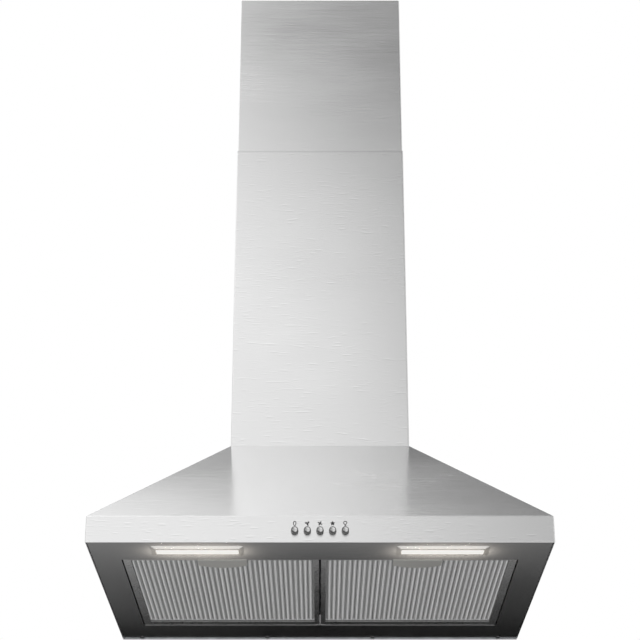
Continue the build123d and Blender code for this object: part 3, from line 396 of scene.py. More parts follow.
# one finish for each material slot; a plain one has a colour, a range of roughness and a grain size
finishes = {
    "stainless_steel": makeBrushedSteel("brushedStainless", brushedSteel),
    "panel_steel": makeBrushedSteel("satinPanelSteel", panelSteel, lying=True),
    "galvanised_steel": makeGalvanised(),
    "screw_steel": metalFinish("screwBlackZinc", (0.13, 0.13, 0.135), (0.28, 0.40), 0.0006),
    "spring_steel": metalFinish("springWire", (0.45, 0.45, 0.46), (0.25, 0.4), 0.0004),
    "filter_aluminium": metalFinish("filterFrameSheet", (0.66, 0.66, 0.66), (0.24, 0.32), 0.0012, 0.975),
    "latch_aluminium": metalFinish("latchPressing", (0.68, 0.67, 0.64), (0.30, 0.40), 0.0009, 0.90),
    "button_chrome": makeButtonFinish(),
    "lamp_bezel_metal": metalFinish("lampBezelSatin", (0.84, 0.83, 0.81), (0.16, 0.22), 0.0008, 0.992),
    "lamp_lens": makeLitLens(),
    "circuit_green": speckledFinish("circuitBoard", (0.06, 0.22, 0.11), (0.3, 0.45), 0.003, None, 0.25),
    "black_plastic": speckledFinish(
        "blackMoulded", (0.028, 0.028, 0.030), (0.38, 0.55), 0.0009, None, 0.2, 0.3
    ),
    "grey_plastic": speckledFinish(
        "greyMoulded", (0.34, 0.35, 0.36), (0.4, 0.55), 0.0011, None, 0.08, 0.25
    ),
    "white_plastic": speckledFinish(
        "whiteMoulded", (0.78, 0.78, 0.76), (0.35, 0.5), 0.0011, None, 0.04, 0.2
    ),
    "motor_paint": speckledFinish("motorEnamel", (0.06, 0.065, 0.07), (0.3, 0.42), 0.004, None, 0.2, 0.15),
    "bearing_bronze": metalFinish("sinteredBronze", (0.60, 0.42, 0.20), (0.35, 0.5), 0.0007),
    "grommet_rubber": speckledFinish(
        "grommetRubber", (0.022, 0.022, 0.022), (0.6, 0.75), 0.0008, None, 0.2, 0.3
    ),
}

meshStrand = makeMeshStrand()
printedInk = speckledFinish("printedInk", (0.035, 0.035, 0.037), (0.5, 0.6), 0.0004, None, 0.3, 0.05)
lowerSteel = makeBrushedSteel("brushedStainlessRimmed", brushedSteel, shadowedTopEdge=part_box("chimney_lower")[1].z)
slotOf = {part["node"]: part["material_slot"] for part in frame["record"]["subparts"]}


def wear(item, finish):
    item.data.materials.clear()
    item.data.materials.append(finish)


for name, node in cadNodes.items():
    wear(node, finishes[slotOf[name]])
wear(cadNodes["chimney_lower"], lowerSteel)
print("finishes made:", len(finishes), "for the slots, and 3 for single pieces")

# mesh helpers

weldDistance = 1e-6
flatWeldDistance = 1e-7
looseWeldDistance = 1e-5  # a CAD node's mesh is loose triangles


def pieceFromMesh(name, mesh, body, slot, replaced=(), finish=None):
    mesh.name = name
    item = bpy.data.objects.new(name, mesh)
    bpy.context.scene.collection.objects.link(item)
    wear(item, finish or finishes[slot])
    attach(item, body)
    if replaced:
        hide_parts(*replaced)
    return item


def meshFromBuild(build):
    bmesh.ops.remove_doubles(build, verts=build.verts, dist=flatWeldDistance)
    bmesh.ops.recalc_face_normals(build, faces=build.faces)
    mesh = bpy.data.meshes.new("built")
    build.to_mesh(mesh)
    build.free()
    return mesh


def growMesh(tree, start, settings):
    # runs a geometry tree on a mesh and returns the plain mesh that comes out
    item = bpy.data.objects.new("growing", start)
    bpy.context.scene.collection.objects.link(item)
    modifier = item.modifiers.new("grow", "NODES")
    modifier.node_group = tree
    sockets = {s.name: s.identifier for s in tree.interface.items_tree if s.in_out == "INPUT"}
    for key, value in settings.items():
        modifier[sockets[key]] = value
    bpy.context.view_layer.update()
    depsgraph = bpy.context.evaluated_depsgraph_get()
    mesh = bpy.data.meshes.new_from_object(item.evaluated_get(depsgraph))
    item.modifiers.remove(modifier)
    bpy.data.objects.remove(item)
    return mesh


def newTree(name, inputs):
    tree = bpy.data.node_groups.new(name, "GeometryNodeTree")
    tree.interface.new_socket("Geometry", in_out="INPUT", socket_type="NodeSocketGeometry")
    for label, kind in inputs.items():
        tree.interface.new_socket(label, in_out="INPUT", socket_type="NodeSocket" + kind)
    tree.interface.new_socket("Geometry", in_out="OUTPUT", socket_type="NodeSocketGeometry")
    given = tree.nodes.new("NodeGroupInput").outputs
    return tree, {label: given[label] for label in ("Geometry", *inputs)}


def closeTree(tree, geometry, finish):
    plain = addNode(tree, "GeometryNodeRealizeInstances", None, {"Geometry": geometry}).outputs[0]
    worn = addNode(tree, "GeometryNodeSetMaterial", None, {"Geometry": plain, "Material": finish})
    addNode(tree, "NodeGroupOutput", None, {"Geometry": worn.outputs[0]})
    return tree


def joinNodes(tree, *geometries):
    both = tree.nodes.new("GeometryNodeJoinGeometry")
    for geometry in geometries:
        tree.links.new(geometry, both.inputs[0])
    return both.outputs[0]


def weld(tree, geometry):
    given = {"Geometry": geometry, "Distance": weldDistance}
    return addNode(tree, "GeometryNodeMergeByDistance", None, given).outputs[0]


def placeParts(tree):
    # the x, y and z of each point as it stands at this stage of the tree
    spot = addNode(tree, "GeometryNodeInputPosition").outputs[0]
    return addNode(tree, "ShaderNodeSeparateXYZ", None, {0: spot}).outputs


def moveTo(tree, geometry, place):
    given = {"Geometry": geometry, "Position": place}
    return addNode(tree, "GeometryNodeSetPosition", None, given).outputs[0]


def pointMesh(points, facings):
    mesh = bpy.data.meshes.new("points")
    mesh.from_pydata([tuple(p) for p in points], [], [])
    facing = mesh.attributes.new("facing", "FLOAT_VECTOR", "POINT")
    for number, direction in enumerate(facings):
        facing.data[number].vector = direction
    return mesh


def smoothShade(mesh, sharpAngle=35.0):
    mesh.shade_smooth()
    mesh.set_sharp_from_angle(angle=math.radians(sharpAngle))
    return mesh


# grease filter mesh: expanded metal with diamond holes, folded into ridges that run from front to back

filterPack = {
    "outer": {
        "Cell Width": 0.0062, "Cell Length": 0.0052, "Hole Share": 0.58, "Sheet": 0.00035,
        "Ridges": 38, "Ridge Depth": 0.0034, "Fold Stretch": 1.5, "Flat End": 0.0140,
    },
    "core": {
        "Cell Width": 0.0090, "Cell Length": 0.0070, "Hole Share": 0.62, "Sheet": 0.0003,
        "Ridges": 38, "Ridge Depth": 0.0, "Fold Stretch": 1.0, "Flat End": 0.0,
    },
    "inner": {
        "Cell Width": 0.0090, "Cell Length": 0.0070, "Hole Share": 0.60, "Sheet": 0.0003,
        "Ridges": 38, "Ridge Depth": 0.0013, "Fold Stretch": 1.1, "Flat End": 0.0,
    },
    "layerGap": 0.0001,
    "edgeGap": 0.0005,
    "flatFade": 0.004,  # over which the ridges rise again from the flat end
    "flatSink": 0.7,  # how deep the flat end is pressed in, as a share of the ridge depth
}


def expandedMetalTree():
    tree, given = newTree(
        "expandedMetalSheet",
        {
            "Width": "Float", "Length": "Float", "Cell Width": "Float", "Cell Length": "Float",
            "Hole Share": "Float", "Sheet": "Float", "Ridges": "Int", "Ridge Depth": "Float",
            "Fold Stretch": "Float", "Flat End": "Float", "Cells": "Int", "Notch Middle": "Float",
            "Notch Half Width": "Float", "Notch End": "Float",
        },
    )
    grid = addNode(
        tree, "GeometryNodeMeshGrid", None,
        {"Size X": 1.0, "Size Y": 1.0, "Vertices X": given["Cells"], "Vertices Y": given["Cells"]},
    ).outputs["Mesh"]
    # turn the square grid into a lattice of diamonds
    spot = placeParts(tree)
    across = mathNode(tree, "SUBTRACT", spot["X"], spot["Y"])
    along = mathNode(tree, "ADD", spot["X"], spot["Y"])
    halfCount = mathNode(tree, "MULTIPLY", mathNode(tree, "SUBTRACT", given["Cells"], 1.0), 0.5)
    across = mathNode(tree, "MULTIPLY", mathNode(tree, "MULTIPLY", across, halfCount), given["Cell Width"])
    along = mathNode(tree, "MULTIPLY", mathNode(tree, "MULTIPLY", along, halfCount), given["Cell Length"])
    flat = addNode(tree, "ShaderNodeCombineXYZ", None, {"X": across, "Y": along}).outputs[0]
    lattice = moveTo(tree, grid, flat)
    # keep the diamonds inside the pack's outline and clear of the latch housing
    spot = placeParts(tree)
    folded = mathNode(tree, "DIVIDE", spot["X"], given["Fold Stretch"])
    halfWidth = mathNode(tree, "MULTIPLY", given["Width"], 0.5)
    halfLength = mathNode(tree, "MULTIPLY", given["Length"], 0.5)
    cellReachX = mathNode(tree, "MULTIPLY", given["Cell Width"], 0.5)
    cellReachX = mathNode(tree, "DIVIDE", cellReachX, given["Fold Stretch"])
    cellReachY = mathNode(tree, "MULTIPLY", given["Cell Length"], 0.5)
    farX = mathNode(tree, "ADD", mathNode(tree, "ABSOLUTE", folded), cellReachX)
    farY = mathNode(tree, "ADD", mathNode(tree, "ABSOLUTE", spot["Y"]), cellReachY)
    beyondX = mathNode(tree, "GREATER_THAN", farX, halfWidth)
    beyondY = mathNode(tree, "GREATER_THAN", farY, halfLength)
    fromNotch = mathNode(tree, "ABSOLUTE", mathNode(tree, "SUBTRACT", folded, given["Notch Middle"]))
    nearX = mathNode(tree, "SUBTRACT", fromNotch, cellReachX)
    nearY = mathNode(tree, "SUBTRACT", spot["Y"], cellReachY)
    inNotch = mathNode(
        tree, "MULTIPLY", mathNode(tree, "LESS_THAN", nearX, given["Notch Half Width"]),
        mathNode(tree, "LESS_THAN", nearY, given["Notch End"]),
    )
    outside = mathNode(tree, "MAXIMUM", mathNode(tree, "MAXIMUM", beyondX, beyondY), inNotch)
    trimmed = addNode(
        tree, "GeometryNodeDeleteGeometry", {"domain": "FACE", "mode": "ALL"},
        {"Geometry": lattice, "Selection": outside},
    ).outputs[0]
    # open each diamond and leave its strands
    pressed = addNode(
        tree, "GeometryNodeExtrudeMesh", {"mode": "FACES"},
        {"Mesh": trimmed, "Offset Scale": 0.0, "Individual": True},
    )
    hole = pressed.outputs["Top"]
    shrunk = addNode(
        tree, "GeometryNodeScaleElements", {"domain": "FACE"},
        {"Geometry": pressed.outputs["Mesh"], "Selection": hole, "Scale": given["Hole Share"]},
    ).outputs[0]
    opened = addNode(
        tree, "GeometryNodeDeleteGeometry", {"domain": "FACE", "mode": "ALL"},
        {"Geometry": shrunk, "Selection": hole},
    ).outputs[0]
    strands = weld(tree, opened)
    # fold the sheet into ridges, pressed flat along the rear edge
    spot = placeParts(tree)
    folded = mathNode(tree, "DIVIDE", spot["X"], given["Fold Stretch"])
    turn = mathNode(tree, "DIVIDE", folded, given["Width"])
    turn = mathNode(tree, "MULTIPLY", turn, given["Ridges"])
    wave = mathNode(tree, "COSINE", mathNode(tree, "MULTIPLY", turn, 2.0 * math.pi))
    fromEnd = mathNode(tree, "SUBTRACT", halfLength, spot["Y"])
    fadeEnd = mathNode(tree, "ADD", given["Flat End"], filterPack["flatFade"])
    raised = rangeNode(tree, fromEnd, given["Flat End"], fadeEnd, 0.0, 0.5, smooth=True)
    sunk = mathNode(tree, "MULTIPLY", mathNode(tree, "SUBTRACT", 0.5, raised), filterPack["flatSink"])
    share = mathNode(tree, "MULTIPLY_ADD", mathNode(tree, "ADD", wave, 1.0), raised, sunk)
    height = mathNode(tree, "MULTIPLY", share, given["Ridge Depth"])
    ridged = addNode(tree, "ShaderNodeCombineXYZ", None, {"X": folded, "Y": spot["Y"], "Z": height})
    sheet = moveTo(tree, strands, ridged.outputs[0])
    lifted = addNode(
        tree, "GeometryNodeExtrudeMesh", {"mode": "FACES"},
        {"Mesh": sheet, "Offset Scale": given["Sheet"], "Individual": False},
    ).outputs["Mesh"]
    under = addNode(tree, "GeometryNodeFlipFaces", None, {"Mesh": sheet}).outputs[0]
    return closeTree(tree, weld(tree, joinNodes(tree, lifted, under)), meshStrand)


expandedMetal = expandedMetalTree()


def makeFilterLayer(side, layer, base):
    settings = filterPack[layer]
    low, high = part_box("filter_mesh_" + side)
    notchLow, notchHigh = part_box("latch_housing_" + side)
    width, length = high.x - low.x, high.y - low.y
    middle = Vector(((low.x + high.x) / 2, (low.y + high.y) / 2, base))
    flatWidth = width * settings["Fold Stretch"]
    cells = int(flatWidth / settings["Cell Width"] + length / settings["Cell Length"]) + 3
    gap = filterPack["edgeGap"]
    mesh = growMesh(
        expandedMetal, pointMesh([(0, 0, 0)], [(0, 0, 1)]),
        {
            **settings, "Width": width - 2 * gap, "Length": length - 2 * gap, "Cells": cells + 1,
            "Notch Middle": (notchLow.x + notchHigh.x) / 2 - middle.x,
            "Notch Half Width": (notchHigh.x - notchLow.x) / 2 + 2 * gap,
            "Notch End": notchHigh.y + 2 * gap - middle.y,
        },
    )
    for vertex in mesh.vertices:
        vertex.co += middle
    label = layer[0].upper() + layer[1:]
    pieceFromMesh(
        "expandedMetal" + label + "_" + side, mesh, "filter_" + side, "filter_aluminium",
        ["filter_mesh_" + side], meshStrand,
    )
    print("filter", side, layer, "layer:", len(mesh.polygons), "faces")
    return base + settings["Ridge Depth"] + settings["Sheet"] + filterPack["layerGap"]


for side in ("left", "right"):
    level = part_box("filter_mesh_" + side)[0].z
    for layer in ("outer", "core", "inner"):
        level = makeFilterLayer(side, layer, level)

# screws: pan heads with a cross recess, and a threaded shank

panScrew = {
    "Head Radius": 0.0036,
    "Head Height": 0.0014,
    "Shank Radius": 0.0016,
    "Shank Length": 0.0080,
    "Thread Pitch": 0.0013,
    "Thread Depth": 0.0003,
    "Recess Width": 0.0008,
    "Recess Length": 0.0042,
    "Recess Depth": 0.0009,
}
screwDetail = {
    "segments": 36,
    "headRings": 28,
    "threadRings": 80,
    "domeFullness": 5.0,
    "seatSink": 0.2,  # the shank starts this share of the head's height above the seat
    "taperStart": 0.82,
}


def turnedGrid(tree, rings, radiusOf, heightOf):
    # a grid rolled up about Z: its x gives the place along the outline and its y the turn
    grid = addNode(
        tree, "GeometryNodeMeshGrid", None,
        {"Size X": 1.0, "Size Y": 1.0, "Vertices X": rings + 1, "Vertices Y": screwDetail["segments"] + 1},
    ).outputs["Mesh"]
    spot = placeParts(tree)
    step = mathNode(tree, "ADD", spot["X"], 0.5)
    turn = mathNode(tree, "MULTIPLY", mathNode(tree, "ADD", spot["Y"], 0.5), 2.0 * math.pi)
    radius, height = radiusOf(step, turn), heightOf(step)
    x = mathNode(tree, "MULTIPLY", radius, mathNode(tree, "COSINE", turn))
    y = mathNode(tree, "MULTIPLY", radius, mathNode(tree, "SINE", turn))
    rolled = addNode(tree, "ShaderNodeCombineXYZ", None, {"X": x, "Y": y, "Z": height}).outputs[0]
    return weld(tree, moveTo(tree, grid, rolled))


def panScrewTree():
    tree, given = newTree("panHeadScrews", {**{label: "Float" for label in panScrew}, "Seed": "Int"})

    def headRadius(step, turn):
        # out over the dome, then back under the head to its middle
        out = mathNode(tree, "SINE", mathNode(tree, "MULTIPLY", step, math.pi))
        return mathNode(tree, "MULTIPLY", out, given["Head Radius"])

    def headHeight(step):
        out = mathNode(tree, "SINE", mathNode(tree, "MULTIPLY", step, math.pi))
        fall = mathNode(tree, "SUBTRACT", 1.0, mathNode(tree, "POWER", out, screwDetail["domeFullness"]))
        dome = mathNode(tree, "MULTIPLY", mathNode(tree, "SQRT", fall), given["Head Height"])
        above = mathNode(tree, "LESS_THAN", step, 0.5001)  # 0 for the flat underside, from the rim on
        return mathNode(tree, "MULTIPLY", dome, above)

    def shankRadius(step, turn):
        depth = mathNode(tree, "MULTIPLY", step, given["Shank Length"])
        depth = mathNode(tree, "DIVIDE", depth, given["Thread Pitch"])
        phase = mathNode(tree, "ADD", depth, mathNode(tree, "DIVIDE", turn, 2.0 * math.pi))
        groove = mathNode(tree, "PINGPONG", phase, 0.5)
        thread = mathNode(tree, "MULTIPLY", mathNode(tree, "MULTIPLY", groove, 2.0), given["Thread Depth"])
        point = rangeNode(tree, step, screwDetail["taperStart"], 1.0, 1.0, 0.0)
        start = mathNode(tree, "GREATER_THAN", step, 0.001)  # closes the first ring to a point
        full = mathNode(tree, "SUBTRACT", given["Shank Radius"], thread)
        return mathNode(tree, "MULTIPLY", mathNode(tree, "MULTIPLY", full, point), start)

    def shankHeight(step):
        sunk = mathNode(tree, "MULTIPLY", given["Head Height"], screwDetail["seatSink"])
        return mathNode(tree, "SUBTRACT", sunk, mathNode(tree, "MULTIPLY", step, given["Shank Length"]))

    head = turnedGrid(tree, screwDetail["headRings"], headRadius, headHeight)
    shank = turnedGrid(tree, screwDetail["threadRings"], shankRadius, shankHeight)
    top = addNode(tree, "ShaderNodeCombineXYZ", None, {"Z": given["Head Height"]}).outputs[0]
    tall = mathNode(tree, "MULTIPLY", given["Recess Depth"], 2.0)
    cutters = []
    for x, y in (("Recess Length", "Recess Width"), ("Recess Width", "Recess Length")):
        size = addNode(tree, "ShaderNodeCombineXYZ", None, {"X": given[x], "Y": given[y], "Z": tall})
        bar = addNode(tree, "GeometryNodeMeshCube", None, {"Size": size.outputs[0]}).outputs["Mesh"]
        lifted = addNode(tree, "GeometryNodeTransform", None, {"Geometry": bar, "Translation": top})
        cutters.append(lifted.outputs[0])
    recessed = addNode(tree, "GeometryNodeMeshBoolean", {"operation": "DIFFERENCE"}, {"Mesh 1": head})
    for cutter in cutters:
        tree.links.new(cutter, recessed.inputs["Mesh 2"])
    screw = joinNodes(tree, recessed.outputs["Mesh"], shank)
    facing = addNode(
        tree, "GeometryNodeInputNamedAttribute", {"data_type": "FLOAT_VECTOR"}, {"Name": "facing"}
    ).outputs["Attribute"]
    turned = addNode(tree, "FunctionNodeAlignRotationToVector", {"axis": "Z"}, {"Vector": facing})
    placed = addNode(
        tree, "GeometryNodeInstanceOnPoints", None,
        {"Points": given["Geometry"], "Instance": screw, "Rotation": turned.outputs[0]},
    ).outputs[0]
    spin = addNode(tree, "FunctionNodeRandomValue", {"data_type": "FLOAT"})
    ends = {s.identifier: s for s in spin.inputs}
    ends["Min_001"].default_value = 0.0
    ends["Max_001"].default_value = 2.0 * math.pi
    tree.links.new(given["Seed"], ends["Seed"])
    angle = next(s for s in spin.outputs if s.identifier == "Value_001")
    aboutAxis = addNode(tree, "ShaderNodeCombineXYZ", None, {"Z": angle}).outputs[0]
    spun = addNode(
        tree, "GeometryNodeRotateInstances", None,
        {"Instances": placed, "Local Space": True, "Rotation": aboutAxis},
    ).outputs[0]
    return closeTree(tree, spun, finishes["screw_steel"])


panScrews = panScrewTree()


def nodeShells(node):
    # the separate shells of a CAD node, each as its lowest and highest corner
    build = bmesh.new()
    build.from_mesh(cadNodes[node].data)
    bmesh.ops.remove_doubles(build, verts=build.verts, dist=looseWeldDistance)
    left, shells = set(build.verts), []
    while left:
        stack, shell = [left.pop()], []
        while stack:
            vertex = stack.pop()
            shell.append(vertex.co.copy())
            for edge in vertex.link_edges:
                other = edge.other_vert(vertex)
                if other in left:
                    left.remove(other)
                    stack.append(other)
        low = Vector([min(c[axis] for c in shell) for axis in range(3)])
        high = Vector([max(c[axis] for c in shell) for axis in range(3)])
        shells.append((low, high))
    build.free()
    return shells


def makeScrews(name, node, body, facingOf, seed):
    # each screw's seat lies a head's height in from the end that its head faces
    points, facings = [], []
    for low, high in nodeShells(node):
        middle = (low + high) / 2
        facing = Vector(facingOf(middle))
        reach = (high - low).dot(Vector([abs(part) for part in facing])) / 2
        points.append(middle + facing * (reach - panScrew["Head Height"]))
        facings.append(facing)
    mesh = growMesh(panScrews, pointMesh(points, facings), {**panScrew, "Seed": seed})
    pieceFromMesh(name, smoothShade(mesh), body, "screw_steel", [node])
    print(name + ":", len(points), "screws")


def facingDown(middle):
    return (0, 0, -1)


def facingOutwards(middle):
    return (math.copysign(1, middle.x), 0, 0)


makeScrews("panelScrews", "panel_screws", "hood", facingDown, 3)
makeScrews("chimneyFootScrews", "chimney_foot_screws", "hood", facingDown, 5)
makeScrews("chimneyUpperScrews", "chimney_upper_screws", "chimney_top", facingOutwards, 7)

# push buttons: turned caps with a dished face and a small dimple, a collar behind the fascia, and a stem

pushButton = {
    "capRadius": 0.0045,
    "rimRound": 0.0007,
    "rimFlat": 0.0002,
    "dishDepth": 0.00050,
    "dimpleRadius": 0.0008,
    "dimpleDepth": 0.00025,
    "collarRadius": 0.0054,
    "collarFront": 0.0081,
    "collarRear": 0.0130,
    "stemRadius": 0.0019,
    "edgeRound": 0.0002,
    "segments": 64,
    "dimpleSteps": 6,
    "dishSteps": 10,
}
buttonNames = ("off", "speed_1", "speed_2", "speed_3", "lamp")


def roundedCorner(middleRadius, middleBack, size, startAngle, endAngle, steps=6):
    # points of a small arc in the outline, given as radius and distance back from the front
    points = []
    for step in range(steps + 1):
        angle = math.radians(startAngle + (endAngle - startAngle) * step / steps)
        points.append((middleRadius + size * math.cos(angle), middleBack + size * math.sin(angle)))
    return points


def buttonOutline(depth):
    p = pushButton
    flat = p["capRadius"] - p["rimRound"]
    dish = flat - p["rimFlat"]
    outline = [(0.0, p["dishDepth"] + p["dimpleDepth"])]
    for step in range(p["dimpleSteps"]):
        share = (step + 1) / p["dimpleSteps"]
        back = p["dishDepth"] + p["dimpleDepth"] * (1 - share ** 2)
        outline.append((p["dimpleRadius"] * share, back))
    for step in range(p["dishSteps"]):
        share = (step + 1) / p["dishSteps"]
        radius = p["dimpleRadius"] + (dish - p["dimpleRadius"]) * share
        outline.append((radius, p["dishDepth"] * (1 - share ** 2)))
    outline += roundedCorner(flat, p["rimRound"], p["rimRound"], -90, 0)
    edge = p["edgeRound"]
    outline.append((p["capRadius"], p["collarFront"]))
    outline += roundedCorner(p["collarRadius"] - edge, p["collarFront"] + edge, edge, -90, 0, 3)
    outline += roundedCorner(p["collarRadius"] - edge, p["collarRear"] - edge, edge, 0, 90, 3)
    outline.append((p["stemRadius"], p["collarRear"]))
    outline += roundedCorner(p["stemRadius"] - edge, depth - edge, edge, 0, 90, 3)
    outline.append((0.0, depth))
    return outline


def latheMesh(outline, front, segments):
    # turns the outline about a line through front that runs back along +Y
    build = bmesh.new()
    rings = []
    for radius, back in outline:
        count = segments if radius > 0.0 else 1
        turns = [2.0 * math.pi * number / segments for number in range(count)]
        spots = [Vector((radius * math.cos(turn), back, radius * math.sin(turn))) for turn in turns]
        rings.append([build.verts.new(front + spot) for spot in spots])
    for first, second in zip(rings, rings[1:]):
        for number in range(segments):
            after = (number + 1) % segments
            corners = [
                first[number % len(first)], first[after % len(first)],
                second[after % len(second)], second[number % len(second)],
            ]
            build.faces.new(list(dict.fromkeys(corners)))
    return meshFromBuild(build)


def makeButton(label):
    node = "button_" + label
    low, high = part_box(node)
    front = Vector(((low.x + high.x) / 2, low.y, (low.z + high.z) / 2))
    mesh = latheMesh(buttonOutline(high.y - low.y), front, pushButton["segments"])
    pieceFromMesh("pushButton_" + label, smoothShade(mesh), node, "button_chrome", [node])


for label in buttonNames:
    makeButton(label)
print("buttons turned:", len(buttonNames))

# printed signs above the buttons: off, three fan speeds and a lamp

printedSign = {
    "rise": 0.0104,
    "height": 0.0068,
    "thickness": 0.00005,
    "line": 0.00100,
    "curveSteps": 10,
    "ovalSteps": 32,
    # lengths below are shares of half the height
    "ringWidth": 0.62,
    "lamp": {"radius": 0.74, "middle": 0.22, "stemWidth": 0.30, "stemTop": -0.62},
    "star": {"notch": 0.52, "arms": 5},
    "hub": 0.26,
    "fans": {
        "speed_1": {"blades": 3, "width": 0.34, "start": 30.0},
        "speed_2": {"blades": 4, "width": 0.25, "start": 45.0},
    },
    # the blade: where it starts, how wide it starts, how full its sides are, and how far it leans round
    "blade": {"root": 0.12, "rootWidth": 0.1, "fullness": 0.6, "sweep": 22.0},
}


def ovalPoints(halfWidth, halfHeight, middle=0.0, count=printedSign["ovalSteps"]):
    points = []
    for number in range(count):
        angle = 2.0 * math.pi * number / count
        points.append((halfWidth * math.cos(angle), middle + halfHeight * math.sin(angle)))
    return points


def bladePoints(direction, length, halfWidth):
    # out along one edge of the blade and back along the other
    blade, steps = printedSign["blade"], printedSign["curveSteps"]
    points = []
    for edge in (1, -1):
        for step in range(steps + 1):
            share = step / steps if edge > 0 else 1 - step / steps
            radius = length * (blade["root"] + (1 - blade["root"]) * share)
            width = min(1.0, blade["rootWidth"] + (1 - blade["rootWidth"]) * share)
            side = edge * halfWidth * math.sin(math.pi * width) ** blade["fullness"]
            angle = math.radians(direction + blade["sweep"] * share)
            x = radius * math.cos(angle) - side * math.sin(angle)
            y = radius * math.sin(angle) + side * math.cos(angle)
            points.append((x, y))
    return points


def starPoints(outer, inner, arms):
    points = []
    for number in range(2 * arms):
        radius = inner if number % 2 else outer
        angle = math.radians(90.0 + 180.0 * number / arms)
        points.append((radius * math.cos(angle), radius * math.sin(angle)))
    return points


def barPoints(halfWidth, low, high):
    return [(-halfWidth, low), (halfWidth, low), (halfWidth, high), (-halfWidth, high)]


def signShapes(label):
    # filled outlines, and rings as pairs of outlines with the same count of points
    half, line = printedSign["height"] / 2, printedSign["line"]
    if label == "off":
        width = half * printedSign["ringWidth"]
        return [], [(ovalPoints(width, half), ovalPoints(width - line, half - line))]
    if label == "lamp":
        lamp = printedSign["lamp"]
        radius, middle = half * lamp["radius"], half * lamp["middle"]
        outer = ovalPoints(radius, radius, middle)
        inner = ovalPoints(radius - line, radius - line, middle)
        return [barPoints(half * lamp["stemWidth"], -half, half * lamp["stemTop"])], [(outer, inner)]
    if label == "speed_3":
        star = printedSign["star"]
        return [starPoints(half, half * star["notch"], star["arms"])], []
    fan = printedSign["fans"][label]
    blades = []
    for number in range(fan["blades"]):
        direction = fan["start"] + 360.0 * number / fan["blades"]
        blades.append(bladePoints(direction, half, half * fan["width"]))
    hub = half * printedSign["hub"]
    return [*blades, ovalPoints(hub, hub, count=printedSign["ovalSteps"] // 2)], []


def makeSign(label):
    low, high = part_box("button_" + label)
    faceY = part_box("canopy_shell")[0].y
    x, z = (low.x + high.x) / 2, (low.z + high.z) / 2 + printedSign["rise"]
    thick = printedSign["thickness"]
    nearY, farY = faceY - thick, faceY + thick
    filled, rings = signShapes(label)
    build = bmesh.new()
    for number, outline in enumerate(filled):
        # overlapping shapes are stepped by a hair so that no two faces coincide
        steppedY = nearY - 0.1 * thick * number
        near = [build.verts.new((x + px, steppedY, z + pz)) for px, pz in outline]
        far = [build.verts.new((x + px, farY, z + pz)) for px, pz in outline]
        build.faces.new(near)
        build.faces.new(far[::-1])
        for first, second in zip(range(len(outline)), [*range(1, len(outline)), 0]):
            build.faces.new([near[first], near[second], far[second], far[first]])
    for outer, inner in rings:
        loops = []
        for outline, y in ((outer, nearY), (outer, farY), (inner, farY), (inner, nearY)):
            loops.append([build.verts.new((x + px, y, z + pz)) for px, pz in outline])
        for loop, following in zip(loops, [*loops[1:], loops[0]]):
            for first, second in zip(range(len(loop)), [*range(1, len(loop)), 0]):
                build.faces.new([loop[first], loop[second], following[second], following[first]])
    pieceFromMesh("sign_" + label, meshFromBuild(build), "hood", "black_plastic", (), printedInk)


for label in buttonNames:
    makeSign(label)
print("signs printed:", len(buttonNames))

# studio: a white room for the camera, and large soft cards that only the metal sees

studio = {
    "floor": {"z": -1.6, "half": 6.0, "roughness": 0.8, "greys": (0.86, 0.90), "cloud": 30.0},
    "ambient": 0.75,
    "cards": {
        # brightness by height, for the card's left, middle and right; spread is how far out those reach
        "front": {
            "y": -3.5, "x": (-3.6, 3.6), "z": (-0.3, 8.0), "spread": 0.7, "facing": 1,
            "levels": (
                (-0.3, (1.4, 1.0, 0.3)),
                (1.2, (0.8, 0.85, 0.6)),
                (2.2, (1.3, 1.15, 0.2)),
                (2.75, (0.8, 0.15, 0.1)),
                (3.7, (0.5, 0.1, 0.1)),
                (4.5, (1.6, 0.8, 0.1)),
                (5.2, (1.6, 1.6, 0.3)),
                (8.0, (1.6, 1.6, 1.1)),
            ),
        },
        "wall": {
            "y": 0.03, "x": (-2.6, 2.6), "z": (0.15, 2.6), "spread": 0.45, "facing": -1, "nearLimit": 0.30,
            "levels": (
                (0.15, (0.1, 0.1, 0.1)),
                (0.6, (0.2, 0.1, 0.1)),
                (0.9, (1.15, 0.5, 0.1)),
                (1.2, (1.5, 1.0, 0.4)),
                (2.6, (1.6, 1.45, 0.9)),
            ),
        },
        "under": {
            "y": 0.03, "x": (-3.0, 3.0), "z": (-0.23, 0.0), "spread": 0.7, "facing": -1,
            "levels": (
                (-0.23, (0.4, 0.2, 0.1)),
                (-0.08, (0.2, 0.0, 0.1)),
                (0.0, (0.0, 0.0, 0.0)),
            ),
        },
    },
    "keyLamp": {
        "place": (-1.8, -2.4, 2.0), "aim": (0.0, -0.25, 0.4), "size": (1.6, 1.6), "power": 12.0,
        "colour": (1.0, 1.0, 1.0),
    },
    "lampGlow": {"size": (0.112, 0.026), "drop": 0.020, "power": 1.6, "colour": (1.0, 0.92, 0.82)},
}


def mixShader(tree, share, first, second):
    given = {0: share, 1: first.outputs[0], 2: second.outputs[0]}
    return addNode(tree, "ShaderNodeMixShader", None, given).outputs[0]


def stageMesh(name, corners, order, material):
    mesh = bpy.data.meshes.new(name)
    mesh.from_pydata(corners, [], [order])
    mesh.materials.append(material)
    item = bpy.data.objects.new(name, mesh)
    bpy.context.scene.collection.objects.link(item)
    return item


